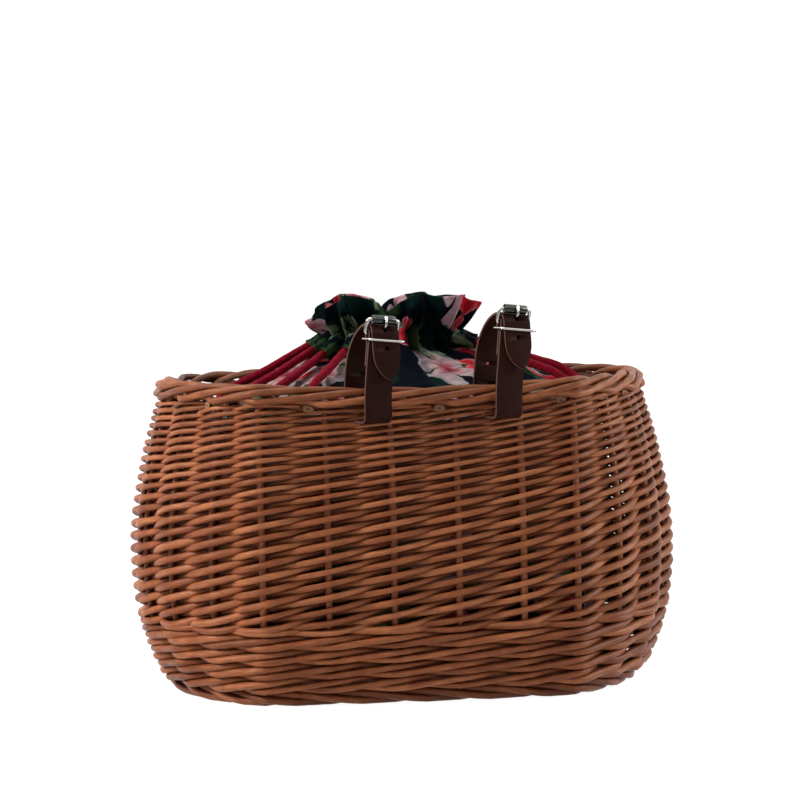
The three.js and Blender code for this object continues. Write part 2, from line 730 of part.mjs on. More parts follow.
// The billet's hole is long enough for the prong to swing in
function prongHole({ heel, billetRadius }) {
  const travel = billetRadius * PRONG_SWING;
  const middle = PRONG_CROSSING + PRONG_SWING / 2;
  const radius = PRONG_RADIUS + 2 * CLEARANCE;
  const cut = new THREE.CylinderGeometry(radius, radius, 2 * STRAP_THICKNESS, 8);
  cut.scale(1, 1, (radius + travel / 2) / radius);
  cut.rotateX(middle);
  cut.translate(0, heel.x + billetRadius * Math.cos(middle), heel.y + billetRadius * Math.sin(middle));
  return toManifold(cut);
}

function punch(y, z) {
  const cut = new THREE.CylinderGeometry(STRAP_HOLE_RADIUS, STRAP_HOLE_RADIUS, 1.3 * STRAP_THICKNESS, 6);
  return toManifold(cut.translate(0, y, z));
}

// What a pointed end leaves off the square strap
function tipOffcut(heel, billetRadius) {
  const tip = heel.y - STRAP_TIP_DROP;
  const start = tip + STRAP_TIP_LENGTH;
  const round = tip + STRAP_TIP_LENGTH * 0.4;
  const half = STRAP_WIDTH / 2;
  const margin = STRAP_THICKNESS / 2;
  const point = new THREE.Shape();
  point.moveTo(-half - margin, start);
  point.lineTo(-half, start);
  point.quadraticCurveTo(-half * 0.92, round, 0, tip);
  point.quadraticCurveTo(half * 0.92, round, half, start);
  point.lineTo(half + margin, start);
  point.lineTo(half + margin, tip - margin);
  point.lineTo(-half - margin, tip - margin);
  const depth = 1.2 * STRAP_THICKNESS;
  const cut = new THREE.ExtrudeGeometry(point, { depth, curveSegments: 4, bevelEnabled: false });
  cut.translate(0, 0, -depth / 2).rotateX(Math.PI / 2).translate(0, heel.x - billetRadius, 0);
  return toManifold(cut);
}

// The lean grows from nothing at the slot to its full angle, and stays there up to the buckle
function leanAt(height) {
  return STRAP_LEAN * smoothstep(LEAN_START, LEAN_END, height);
}

function leanedSpine(height) {
  const steps = 40;
  let [x, z] = [0, 0];
  for (let i = 0; i < steps; i++) {
    const angle = leanAt(height * (i + 0.5) / steps);
    x += Math.sin(angle) * height / steps;
    z += Math.cos(angle) * height / steps;
  }
  return [x, z];
}

function leanGeometry(geometry) {
  const position = geometry.attributes.position;
  for (let i = 0; i < position.count; i++) {
    const angle = leanAt(position.getZ(i));
    const [spineX, spineZ] = leanedSpine(position.getZ(i));
    const across = position.getX(i);
    position.setX(i, spineX + across * Math.cos(angle));
    position.setZ(i, spineZ - across * Math.sin(angle));
  }
  geometry.computeVertexNormals();
  return geometry;
}

// Buckle pieces, in the strap's frame before it leans

function wireStations(points, out, radius) {
  return points.map((point) => ({ point, out, radius }));
}

// Two bars joined by sides that bulge past the strap's edges
function buckleFrame({ heel, roller }) {
  const bar = STRAP_WIDTH / 2 + CLEARANCE;
  const side = FRAME_HALF_WIDTH - WIRE_RADIUS;
  const up = new THREE.Vector3(0, roller.x - heel.x, roller.y - heel.y);
  const at = (x, share) => new THREE.Vector3(x, heel.x, heel.y).addScaledVector(up, share);
  const shoulder = side - WIRE_RADIUS / 4;
  const half = [[bar, 0], [shoulder, 0.1], [side, 0.3], [side, 0.7], [shoulder, 0.92], [bar, 1]];
  const right = half.map(([x, share]) => at(x, share));
  const left = half.map(([x, share]) => at(-x, share)).reverse();
  const out = up.clone().cross(new THREE.Vector3(1, 0, 0)).normalize();
  return rod(wireStations([...right, ...left], out, WIRE_RADIUS), 6, true);
}

// A tube that turns on the upper bar
function rollerTube() {
  const inner = WIRE_RADIUS + TURNING_GAP;
  const half = ROLLER_LENGTH / 2;
  const profile = [
    new THREE.Vector2(inner, -half),
    new THREE.Vector2(ROLLER_RADIUS, -half),
    new THREE.Vector2(ROLLER_RADIUS, half),
    new THREE.Vector2(inner, half),
    new THREE.Vector2(inner, -half),
  ];
  return closedGeometry(new THREE.LatheGeometry(profile, 12).rotateZ(Math.PI / 2));
}

// The prong: an eye round the heel bar and a bent wire that rests on the roller
function prongGeometry({ heel, roller, billetRadius }) {
  const eyeRadius = WIRE_RADIUS + CLEARANCE + PRONG_RADIUS;
  const sunk = eyeRadius - PRONG_RADIUS / 5;
  const onArm = (radius) => new THREE.Vector3(
    0, heel.x + radius * Math.cos(PRONG_CROSSING), heel.y + radius * Math.sin(PRONG_CROSSING));
  const rest = roller.x - ROLLER_RADIUS - CLEARANCE - PRONG_RADIUS;
  const bend = new THREE.CatmullRomCurve3([
    onArm(sunk),
    onArm(billetRadius),
    new THREE.Vector3(0, rest - PRONG_RADIUS / 5, roller.y - PRONG_BEND_DROP),
    new THREE.Vector3(0, rest, roller.y),
    new THREE.Vector3(0, rest + PRONG_TIP_CURL, roller.y + PRONG_TIP_RISE),
  ]);
  const side = new THREE.Vector3(1, 0, 0);
  const wire = rod(wireStations(bend.getPoints(5), side, PRONG_RADIUS), 6);
  const eye = new THREE.TorusGeometry(eyeRadius, PRONG_RADIUS, 6, 10);
  eye.rotateY(Math.PI / 2).translate(0, heel.x, heel.y);
  return fromManifold(toManifold(wire).add(toManifold(eye)));
}

// A wire loop round the front leg, the chape and the billet
function keeperGeometry({ heel, billetRadius }) {
  const z = heel.y - KEEPER_DROP;
  const wire = KEEPER_WIRE_RADIUS;
  const half = STRAP_WIDTH / 2 + CLEARANCE + KEEPER_SIDE_EASE + wire;
  const front = heel.x - billetRadius - STRAP_THICKNESS / 2 - CLEARANCE - KEEPER_FRONT_EASE - wire;
  const back = heel.x + FOLD_RADIUS + STRAP_THICKNESS / 2 + CLEARANCE + wire;
  const points = [];
  [[half, front], [half, back], [-half, back], [-half, front]].forEach(([x, y]) => {
    const inX = x - Math.sign(x) * KEEPER_CORNER;
    const inY = y + (y === front ? KEEPER_CORNER : -KEEPER_CORNER);
    const first = y === front ? [[inX, y], [x, inY]] : [[x, inY], [inX, y]];
    const turned = x > 0 ? first : first.reverse();
    turned.forEach(([px, py]) => points.push(new THREE.Vector3(px, py, z)));
  });
  return rod(wireStations(points, new THREE.Vector3(0, 0, 1), wire), 6, true);
}

// Liner bag

// A ring of cloth: a rounded oval at one height, with pleats that deepen towards the neck
function linerRing({ z, halfX, halfY, x = 0, y = LINER_MIDDLE_Y, square = 2, pleat = 0, notch = 0, sag = 0 }) {
  return Array.from({ length: LINER_SEGMENTS }, (_, i) => {
    const angle = 2 * Math.PI * i / LINER_SEGMENTS;
    const fold = 1 + pleat * Math.cos(PLEATS * angle);
    const bulge = (value) => Math.sign(value) * Math.abs(value) ** (2 / square);
    const px = x + halfX * fold * bulge(Math.cos(angle));
    const py = y + halfY * fold * bulge(Math.sin(angle));
    const fall = notch * Math.exp(-(((px - RUFFLE_NOTCH_X) / RUFFLE_NOTCH_WIDTH) ** 2));
    return new THREE.Vector3(px, py, z - fall + sag * Math.cos(angle));
  });
}

// Shares of the way from the neck out to the bag's side, with shares of the shoulder's fall there.
// The left end sags more than the right one
const SHOULDER = [
  { share: 1, fall: 1, pleat: 0, sag: 0 },
  { share: 0.92, fall: 0.7, pleat: 0.01, sag: 2 },
  { share: 0.74, fall: 0.48, pleat: 0.02, sag: 4 },
  { share: 0.5, fall: 0.33, pleat: 0.03, sag: 3.5 },
  { share: 0.22, fall: 0.14, pleat: 0.045, sag: 1.5 },
];

function shoulderRing({ share, fall, pleat, sag }, inset) {
  return linerRing({
    z: NECK_HEIGHT - fall * SHOULDER_FALL - inset,
    halfX: THREE.MathUtils.lerp(NECK_HALF_WIDTH, LINER_HALF_WIDTH, share) - inset,
    halfY: THREE.MathUtils.lerp(NECK_HALF_DEPTH, LINER_HALF_DEPTH, share) - inset,
    x: NECK_X * (1 - share),
    square: THREE.MathUtils.lerp(2, BAG_SQUARE, share),
    pleat,
    sag,
  });
}

function bodyRing(z, inset) {
  const [halfX, halfY] = [LINER_HALF_WIDTH - inset, LINER_HALF_DEPTH - inset];
  return linerRing({ z, halfX, halfY, square: BAG_SQUARE });
}

const NECK_RING = { halfX: NECK_HALF_WIDTH, halfY: NECK_HALF_DEPTH, x: NECK_X, pleat: NECK_PLEAT };
const SLIT_RING = { halfX: SLIT_HALF_WIDTH, halfY: SLIT_HALF_DEPTH, x: NECK_X };

function linerBag() {
  return skin([
    bodyRing(LINER_FLOOR, FLOOR_INSET),
    bodyRing(LINER_FLOOR + FLOOR_CORNER, FLOOR_CORNER_INSET),
    bodyRing(BELLY_HEIGHT, 0),
    ...SHOULDER.map((level) => shoulderRing(level, 0)),
    linerRing({ ...NECK_RING, z: NECK_HEIGHT }),
    linerRing({ ...SLIT_RING, z: NECK_HEIGHT }),
    linerRing({ ...SLIT_RING, z: NECK_HEIGHT - SLIT_DEPTH }),
    shoulderRing(SHOULDER[3], CLOTH),
    shoulderRing(SHOULDER[1], CLOTH),
    shoulderRing(SHOULDER[0], CLOTH),
    bodyRing(LINER_FLOOR + FLOOR_CORNER, CLOTH + FLOOR_CORNER_INSET),
    bodyRing(LINER_FLOOR + CLOTH, CLOTH + FLOOR_INSET),
  ]);
}

// The frill above the casing opens again in two tufts with a notch between them
function linerRuffle() {
  const bottom = NECK_HEIGHT + CLEARANCE;
  const height = RUFFLE_TOP - bottom;
  const level = (share, grow, more) => linerRing({
    z: bottom + height * share,
    halfX: NECK_HALF_WIDTH + RUFFLE_FLARE_X * grow,
    halfY: NECK_HALF_DEPTH + RUFFLE_FLARE_Y * grow,
    x: NECK_X,
    pleat: NECK_PLEAT + RUFFLE_PLEAT * grow,
    ...more,
  });
  return skin([
    linerRing({ ...NECK_RING, z: bottom }),
    level(0.25, 0.3, {}),
    level(0.6, 0.8, {}),
    level(1, 1, { notch: RUFFLE_NOTCH }),
    level(1, 0.75, { notch: RUFFLE_NOTCH }),
    level(0.55, 0, { halfX: SLIT_HALF_WIDTH * 1.15, halfY: SLIT_HALF_DEPTH * 1.35 }),
    linerRing({ ...SLIT_RING, z: bottom }),
  ], true);
}

// Drawstrings: bights of cord pulled out of the casing and tucked behind the rim
const DRAWSTRING_ROUTES = {
  left_drawstring_long: [
    [-61, -4, 242], [-70.5, -9, 236], [-80.5, -14, 230.3], [-90, -19, 224.8], [-100, -24, 220],
    [-109.5, -28.5, 215.4], [-119.5, -32, 209.8], [-129, -27, 206.4], [-132, -17, 207.4],
    [-126, -8, 212.2], [-116, -5, 217.8], [-105, -3, 222.5], [-94.5, -0.5, 227.6], [-84, 1.5, 233.3],
    [-73, 4, 239.2], [-62.5, 6, 244.4],
  ],
  left_drawstring_short: [
    [-55, -16, 239.2], [-62.5, -22.5, 233.9], [-70, -28.5, 229], [-77.5, -35, 224.2], [-85, -41, 220],
    [-92.5, -47.5, 215.2], [-97, -56, 208.2], [-94.5, -65, 201], [-86, -70, 199.5],
    [-76.5, -67.5, 207.3], [-70, -60.5, 214.8], [-64, -53, 220.6], [-58, -45, 225.2],
    [-52, -37.5, 230.2], [-46, -29.5, 235.6], [-40, -22, 241],
  ],
  right_drawstring: [
    [52.5, -5, 243.2], [63.5, -10, 239], [74.5, -15, 234.8], [86, -20, 230.6], [97, -25, 226.3],
    [108, -30, 221.8], [119.5, -34.5, 213.8], [130, -30, 208], [133, -19, 210], [126, -9.5, 217.8],
    [114, -7, 225.6], [102, -4, 229], [90, -1.5, 233.3], [78.5, 1, 237.3], [66.5, 3.5, 241.3],
    [54.5, 6, 245.2],
  ],
};

function cordGeometry(route) {
  const path = new THREE.CatmullRomCurve3(route.map((point) => new THREE.Vector3(...point)));
  const sides = 8;
  const section = new THREE.Shape(Array.from({ length: sides }, (_, i) => {
    const angle = 2 * Math.PI * (i + 0.5) / sides;
    return new THREE.Vector2(CORD_RADIUS * Math.cos(angle), CORD_RADIUS * Math.sin(angle));
  }));
  const steps = Math.round(path.getLength() / (5 * CORD_RADIUS));
  return closedGeometry(new THREE.ExtrudeGeometry(section, { steps, extrudePath: path, bevelEnabled: false }));
}

// Materials

function material(color, roughness, metalness = 0) {
  return new THREE.MeshStandardMaterial({ color, roughness, metalness, flatShading: true });
}

const WILLOW = () => material(0x9a5c38, 0.62);
const LEATHER = () => material(0x2a1815, 0.5);
const NICKEL = () => material(0xb9b6b0, 0.25, 1);
const DARK_METAL = () => material(0x2c2e2d, 0.35, 1);
const CLOTH_PRINT = () => material(0x1b2230, 0.85);
const RED_CORD = () => material(0x7a1020, 0.8);

// Assembly

const basket = new THREE.Group();

function add(group, name, geometry, finish) {
  const mesh = new THREE.Mesh(geometry, finish);
  mesh.name = name;
  group.add(mesh);
  return mesh;
}

for (let i = 0; i < STAKE_COUNT; i++) {
  const name = `stake_${String(i + 1).padStart(2, "0")}`;
  add(basket, name, rod(stakeStations(i), STAKE_SIDES), WILLOW());
}

const sidingRun = 2 * Math.floor(SIDING_ROWS * STAKE_COUNT / 2) - 1;
for (let i = 0; i < SIDING_NODES; i++) {
  const cut = (share) => 2 * Math.floor(sidingRun * share / SIDING_NODES / 2) + 1;
  const first = i === 0 ? -1 : cut(i);
  const stations = sidingLength(first, cut(i + 1));
  add(basket, `side_weave_${i + 1}`, rod(stations, 3), WILLOW());
}

for (let i = 0; i < WALE_STRANDS; i++) {
  add(basket, `wale_strand_${i + 1}`, rod(waleStations(i), 3), WILLOW());
}

add(basket, "foot_ring", footRing(), WILLOW());
add(basket, "base_weave", baseWeave(), WILLOW());
for (let i = 0; i < BASE_STICK_COUNT; i++) {
  const { geometry, y, z } = baseStick(i);
  add(basket, `base_stick_${i + 1}`, geometry, WILLOW()).position.set(0, y, z);
}

[LEFT_STRAP, RIGHT_STRAP].forEach(({ name, stake, roller }) => {
  const slotHeight = evenHeight(runAt(STRAP_ROW + 0.5, stake - 0.5));
  const wallX = faceX(stake) - STAKE_RADIUS - STAKE_TO_STRAP - STRAP_WIDTH / 2 / Math.cos(STRAP_YAW);
  const place = stake - (faceX(stake) - wallX) / FACE_PITCH;
  const slot = wallStation(place, slotHeight, 0, 0).point;
  const group = new THREE.Group();
  group.position.copy(slot);
  group.rotation.z = STRAP_YAW;
  basket.add(group);

  const layout = buckleLayout(roller);
  add(group, `${name}_strap`, strapGeometry(layout), LEATHER());

  // Above the lean the buckle's pieces stand square to the strap
  const head = new THREE.Group();
  const [leanX, leanZ] = leanedSpine(LEAN_END);
  head.position.set(leanX, 0, leanZ);
  head.rotation.y = STRAP_LEAN;
  group.add(head);
  const buckle = new THREE.Group();
  buckle.position.z = -LEAN_END;
  head.add(buckle);
  add(buckle, `${name}_buckle_frame`, buckleFrame(layout), NICKEL());
  add(buckle, `${name}_roller`, rollerTube(), DARK_METAL())
    .position.set(0, layout.roller.x, layout.roller.y);
  add(buckle, `${name}_prong`, prongGeometry(layout), NICKEL());
  add(buckle, `${name}_keeper`, keeperGeometry(layout), NICKEL());
});

add(basket, "liner_bag", linerBag(), CLOTH_PRINT());
add(basket, "liner_ruffle", linerRuffle(), CLOTH_PRINT());
Object.entries(DRAWSTRING_ROUTES).forEach(([name, route]) => {
  add(basket, name, cordGeometry(route), RED_CORD());
});

// The origin goes under the middle of the whole
const bounds = new THREE.Box3().setFromObject(basket, true);
const middle = bounds.getCenter(new THREE.Vector3());
basket.position.set(-middle.x, -middle.y, 0);

export default basket;
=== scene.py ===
"""The looks of a woven willow bicycle basket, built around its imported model. Lengths are in metres."""
import math

import bpy
import numpy as np
from mathutils import Matrix, Vector
from mathutils import noise as fractal


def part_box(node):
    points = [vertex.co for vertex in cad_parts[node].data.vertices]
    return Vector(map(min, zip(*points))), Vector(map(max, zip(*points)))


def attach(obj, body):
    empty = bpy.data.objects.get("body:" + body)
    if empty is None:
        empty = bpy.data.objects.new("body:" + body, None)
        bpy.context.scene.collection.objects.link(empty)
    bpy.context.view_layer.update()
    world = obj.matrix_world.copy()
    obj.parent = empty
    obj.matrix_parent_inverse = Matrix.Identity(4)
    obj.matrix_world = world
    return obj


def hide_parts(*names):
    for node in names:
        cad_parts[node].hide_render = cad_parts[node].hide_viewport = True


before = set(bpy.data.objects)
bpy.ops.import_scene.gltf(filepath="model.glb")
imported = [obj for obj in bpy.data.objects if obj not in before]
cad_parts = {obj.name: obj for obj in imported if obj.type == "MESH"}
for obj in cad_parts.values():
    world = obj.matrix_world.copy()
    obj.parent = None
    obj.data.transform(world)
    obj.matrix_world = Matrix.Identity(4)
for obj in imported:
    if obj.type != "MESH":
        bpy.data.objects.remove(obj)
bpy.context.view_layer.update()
MM = 0.001
UP = np.array([0.0, 0.0, 1.0])


# Small tools

def unit(vectors):
    """Vectors scaled to length one, along the last axis."""
    vectors = np.asarray(vectors, float)
    return vectors / np.maximum(np.linalg.norm(vectors, axis=-1, keepdims=True), 1e-12)


def smoothstep(low, high, value):
    share = np.clip((np.asarray(value, float) - low) / (high - low), 0, 1)
    return share * share * (3 - 2 * share)


def turns(sides, shift=0.0):
    """Angles of the corners round a ring."""
    return 2 * math.pi * (np.arange(sides) + shift) / sides


def spline(points, steps):
    """A smooth curve through the points, with a number of steps between neighbours."""
    points = np.asarray(points, float)
    padded = np.vstack([2 * points[0] - points[1], points, 2 * points[-1] - points[-2]])
    t = (np.arange(steps) / steps)[:, None]
    pieces = []
    for i in range(len(points) - 1):
        a, b, c, d = padded[i:i + 4]
        pieces.append(0.5 * (2 * b + (c - a) * t + (2 * a - 5 * b + 4 * c - d) * t ** 2
                             + (3 * b - a - 3 * c + d) * t ** 3))
    return np.vstack([*pieces, points[-1:]])


def lengths_along(points):
    steps = np.linalg.norm(np.diff(points, axis=0), axis=1)
    return np.concatenate([[0], np.cumsum(steps)])


def tangents(points, loop=False):
    if loop:
        return unit(np.roll(points, -1, axis=0) - np.roll(points, 1, axis=0))
    return unit(np.gradient(points, axis=0))


def placed(name, data):
    """A new object in the scene."""
    made = bpy.data.objects.new(name, data)
    bpy.context.scene.collection.objects.link(made)
    return made


# Painted shade: how much darker a rod's colour is made on the side that faces into the weave
PAINTED_SIDE_SHADE = 0.36


class Piece:
    """A mesh that is gathered from strips of rings, with a tint (random tone, and on rods painted shade) and
    a map along each strip.
    """

    def __init__(self, name):
        self.name = name
        self.points, self.faces, self.maps = [], [], []
        self.tints, self.slots, self.smooth = [], [], []
        self.count = 0

    def rings(self, rings, tint=0.5, around=None, along=None, loop=False, caps=(None, None)):
        """Closed rings of equal size joined in turn. A cap is the material slot of an end."""
        rings = np.asarray(rings, float)
        rows, sides = rings.shape[:2]
        start = self.count
        self.points.append(rings.reshape(-1, 3))
        self.tints.append(np.broadcast_to(tint, (rows, sides)).ravel())
        self.count += rows * sides
        around = np.arange(sides + 1) / sides if around is None else around
        along = lengths_along(rings.mean(axis=1)) if along is None else along
        spans = rows if loop else rows - 1
        low = np.arange(spans)[:, None] * sides + np.arange(sides)[None, :]
        high = (np.arange(spans)[:, None] + 1) % rows * sides + np.arange(sides)[None, :]
        quads = np.stack([low, np.roll(low, -1, 1), np.roll(high, -1, 1), high], axis=-1)
        self.faces += (quads.reshape(-1, 4) + start).tolist()
        if loop:
            along = np.append(along, along[-1] + along[1] - along[0])
        u0, u1 = (np.broadcast_to(edge, (spans, sides)) for edge in (around[:-1], around[1:]))
        v0, v1 = (np.broadcast_to(edge[:, None], (spans, sides))
                  for edge in (along[:spans], along[1:spans + 1]))
        corners = np.stack([u0, v0, u1, v0, u1, v1, u0, v1], axis=-1)
        self.maps.append(corners.reshape(-1, 2))
        self.slots += [0] * (spans * sides)
        self.smooth += [True] * (spans * sides)
        for end, slot in enumerate(caps):
            if slot is None or loop:
                continue
            ring = start + (rows - 1) * sides * end + np.arange(sides)
            self.faces.append((ring if end else ring[::-1]).tolist())
            angles = turns(sides)
            self.maps.append(np.stack([np.cos(angles), np.sin(angles)], axis=-1) * 0.5)
            self.slots.append(slot)
            self.smooth.append(False)

    def rod(self, points, radii, out, sides=8, tint=0.5, depth=0.0, caps=(1, 1), slant=(0, 0), loop=False):
        """A round rod along points, with its map's seam away from out. A slant leans an end's cut.
        The tint, one number or one a point, is darkened by painted shade on the side away from out, and by
        depth, a further painted shade."""
        points = np.asarray(points, float)
        radii = np.broadcast_to(np.asarray(radii, float), len(points))
        along = tangents(points, loop)
        out = np.broadcast_to(np.asarray(out, float), points.shape)
        out = unit(out - (out * along).sum(1)[:, None] * along)
        side = np.cross(along, out)
        angles = turns(sides, 0.5) + math.pi
        ring = out[:, None] * np.cos(angles)[None, :, None] + side[:, None] * np.sin(angles)[None, :, None]
        rings = points[:, None] + ring * radii[:, None, None]
        for row, lean in zip((0, -1), slant):
            if lean:
                rings[row] += along[row] * (np.cos(angles) * radii[row] * lean)[:, None]
        level = np.broadcast_to(tint, len(points)) - np.broadcast_to(depth, len(points))
        # Painted shade: the rod's colour darkens on its side away from out, and by depth
        shade = level[:, None] - PAINTED_SIDE_SHADE * (1 - np.cos(angles)) / 2
        self.rings(rings, shade, along=lengths_along(points), loop=loop, caps=caps)

    def build(self, materials, body, *nodes, slot=None):
        """The Blender object, riding on a body in place of CAD nodes."""
        mesh = bpy.data.meshes.new(self.name)
        mesh.from_pydata(np.vstack(self.points).tolist(), [], self.faces)
        layer = mesh.uv_layers.new(name="map")
        layer.data.foreach_set("uv", np.vstack(self.maps).astype(np.float32).ravel())
        # The tint attribute carries each rod's random tone together with its painted shade
        tint = mesh.attributes.new("tint", "FLOAT", "POINT")
        tint.data.foreach_set("value", np.concatenate(self.tints).astype(np.float32))
        mesh.polygons.foreach_set("material_index", self.slots)
        mesh.polygons.foreach_set("use_smooth", self.smooth)
        mesh.update()
        for material in materials:
            mesh.materials.append(material)
        piece = placed(self.name, mesh)
        if body:
            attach(piece, body)
        if nodes:
            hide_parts(*nodes)
        return piece

    def build_willow(self, node):
        return self.build([WILLOW, CUT_WILLOW], "basket", node, slot="willow")


# Camera, at the photograph's viewing angle

CAMERA_DISTANCE = 1.924
CAMERA_HEIGHT = 0.322
CAMERA_TURN = math.radians(-5.93)
CAMERA_PITCH = math.radians(3.56)
CAMERA_ROLL = math.radians(1.14)
FOCAL_PIXELS = 2657
FRAME_PIXELS = 800


def add_camera():
    turn, pitch, roll = CAMERA_TURN, CAMERA_PITCH, CAMERA_ROLL
    ahead = Vector((-math.sin(turn) * math.cos(pitch), math.cos(turn) * math.cos(pitch), -math.sin(pitch)))
    right = Vector((math.cos(turn), math.sin(turn), 0))
    up = right.cross(ahead)
    across = math.cos(roll) * right - math.sin(roll) * up
    upwards = math.sin(roll) * right + math.cos(roll) * up
    place = Vector((CAMERA_DISTANCE * math.sin(turn), -CAMERA_DISTANCE * math.cos(turn), CAMERA_HEIGHT))
    data = bpy.data.cameras.new("camera")
    data.sensor_width = 36
    data.lens = FOCAL_PIXELS / FRAME_PIXELS * data.sensor_width
    camera = placed("camera", data)
    rotation = Matrix((across, upwards, -ahead)).transposed().to_4x4()
    camera.matrix_world = Matrix.Translation(place) @ rotation
    bpy.context.scene.camera = camera


add_camera()


# Material graphs

class Graph:
    """A node tree with short ways to add to it."""

    def __init__(self, tree):
        self.tree = tree

    def add(self, kind, inputs=None, **settings):
        """A node with its settings, and its inputs set or linked by name or number."""
        made = self.tree.nodes.new("ShaderNode" + kind)
        for key, value in settings.items():
            setattr(made, key, value)
        for key, value in (inputs or {}).items():
            self.feed(made.inputs[key], value)
        return made

    def feed(self, socket, value):
        if isinstance(value, bpy.types.NodeSocket):
            self.tree.links.new(value, socket)
        elif isinstance(value, tuple) and len(value) == 3 and socket.type == "RGBA":
            socket.default_value = (*value, 1)
        else:
            socket.default_value = value

    def calc(self, operation, a, b=0.0, c=0.0):
        return self.add("Math", {0: a, 1: b, 2: c}, operation=operation).outputs[0]

    def vector(self, operation, a, b):
        return self.add("VectorMath", {0: a, 1: b}, operation=operation).outputs[0]

    def length(self, vector):
        return self.add("VectorMath", {0: vector}, operation="LENGTH").outputs["Value"]

    def parts(self, vector):
        return self.add("SeparateXYZ", {0: vector}).outputs

    def ramp(self, factor, *stops):
        """A colour ramp of (place, colour) stops. A colour may be one grey number."""
        made = self.add("ValToRGB", {0: factor})
        elements = made.color_ramp.elements
        while len(elements) < len(stops):
            elements.new(0.5)
        for element, (place, colour) in zip(elements, stops):
            element.position = place
            element.color = (*colour, 1) if isinstance(colour, tuple) else (colour, colour, colour, 1)
        return made.outputs[0]

    def rise(self, factor, low, high):
        return self.ramp(factor, (low, 0.0), (high, 1.0))

    def fall(self, factor, low, high):
        return self.ramp(factor, (low, 1.0), (high, 0.0))

    def blend(self, share, a, b, mode="MIX"):
        made = self.add("Mix", data_type="RGBA", blend_type=mode)
        for number, value in ((0, share), (6, a), (7, b)):
            self.feed(made.inputs[number], value)
        return made.outputs[2]

    def times(self, share, a, b):
        return self.blend(share, a, b, "MULTIPLY")

    def place(self):
        return self.add("TexCoord").outputs["Object"]

    def map(self):
        return self.add("UVMap", uv_map="map").outputs[0]

    def stretched(self, around, along):
        """The piece's own map, with its two directions scaled apart."""
        return self.add("Mapping", {0: self.map(), 3: (around, along, 1)}).outputs[0]

    def noise(self, vector, scale, detail=3.0, roughness=0.55, output="Fac"):
        inputs = {"Vector": vector, "Scale": scale, "Detail": detail, "Roughness": roughness}
        return self.add("TexNoise", inputs).outputs[output]

    def cells(self, vector, scale, randomness=1.0, dimensions="3D"):
        inputs = {"Vector": vector, "Scale": scale, "Randomness": randomness}
        return self.add("TexVoronoi", inputs, voronoi_dimensions=dimensions).outputs

    def bump(self, height, distance, strength=1.0, normal=None):
        inputs = {"Height": height, "Distance": distance, "Strength": strength}
        if normal is not None:
            inputs["Normal"] = normal
        return self.add("Bump", inputs).outputs[0]


SOCKETS = {"colour": "Base Color", "rough": "Roughness", "normal": "Normal", "specular": "Specular IOR Level",
           "metallic": "Metallic", "sheen": "Sheen Weight"}


class Look(Graph):
    """A material that starts from one surface node."""

    def __init__(self, name):
        self.material = bpy.data.materials.new(name)
        self.material.use_nodes = True
        super().__init__(self.material.node_tree)
        self.surface = self.tree.nodes["Principled BSDF"]

    def finish(self, **looks):
        for name, value in looks.items():
            self.feed(self.surface.inputs[SOCKETS[name]], value)
        return self.material


def willow_material():
    look = Look("willow")
    tint = look.add("Attribute", attribute_name="tint").outputs["Fac"]
    # The tint's low end is painted shade, near black; its upper range is the rods' own tone
    colour = look.ramp(tint, (0.0, (0.028, 0.0072, 0.0022)), (0.3, (0.14, 0.0385, 0.012)),
                       (0.55, (0.25, 0.0735, 0.025)), (0.8, (0.35, 0.112, 0.042)),
                       (1.0, (0.47, 0.174, 0.074)))
    grain = look.noise(look.stretched(9, 70), 1, 4)
    colour = look.times(0.75, colour, look.ramp(grain, (0.32, 0.55), (0.68, 1.28)))
    patches = look.noise(look.place(), 75, 2)
    colour = look.times(0.65, colour, look.ramp(patches, (0.35, (0.78, 0.67, 0.6)), (0.65, (1.2, 1.23, 1.2))))
    specks = look.cells(look.stretched(4, 420), 1)["Distance"]
    colour = look.times(0.75, colour, look.ramp(specks, (0.05, 0.25), (0.13, 1.0)))
    ridges = look.noise(look.stretched(30, 90), 1, 3)
    normal = look.bump(grain, 0.5 * MM, 0.5, look.bump(ridges, 0.25 * MM, 0.6))
    rough = look.ramp(grain, (0.3, 0.52), (0.7, 0.36))
    return look.finish(colour=colour, rough=rough, specular=0.28, normal=normal)


def cut_willow_material():
    """The pale wood of a cut end, with its pith in the middle."""
    look = Look("willow_cut")
    rings = look.ramp(look.length(look.map()), (0.0, (0.10, 0.035, 0.015)), (0.13, (0.14, 0.055, 0.025)),
                      (0.2, (0.34, 0.17, 0.085)), (0.4, (0.37, 0.18, 0.09)), (0.5, (0.2, 0.07, 0.03)))
    fibres = look.noise(look.place(), 900, 2)
    colour = look.times(0.4, rings, look.ramp(fibres, (0.3, 0.6), (0.7, 1.1)))
    return look.finish(colour=colour, rough=0.8, normal=look.bump(fibres, 0.3 * MM, 0.7))


def leather_material():
    look = Look("strap_leather")
    place = look.place()
    clouds = look.noise(place, 60, 3)
    pores = look.cells(place, 1500)["Distance"]
    colour = look.ramp(clouds, (0.3, (0.020, 0.006, 0.004)), (0.7, (0.034, 0.0105, 0.0075)))
    normal = look.bump(pores, 0.12 * MM, 0.5, look.bump(clouds, 0.6 * MM, 0.25))
    rough = look.ramp(clouds, (0.3, 0.5), (0.7, 0.62))
    return look.finish(colour=colour, rough=rough, specular=0.06, normal=normal)


def leather_edge_material():
    """The raw edge of the strap, paler than its dyed face."""
    look = Look("strap_edge")
    fibres = look.noise(look.place(), 700, 3)
    colour = look.ramp(fibres, (0.3, (0.05, 0.019, 0.013)), (0.7, (0.10, 0.042, 0.03)))
    return look.finish(colour=colour, rough=0.7, normal=look.bump(fibres, 0.2 * MM, 0.6))


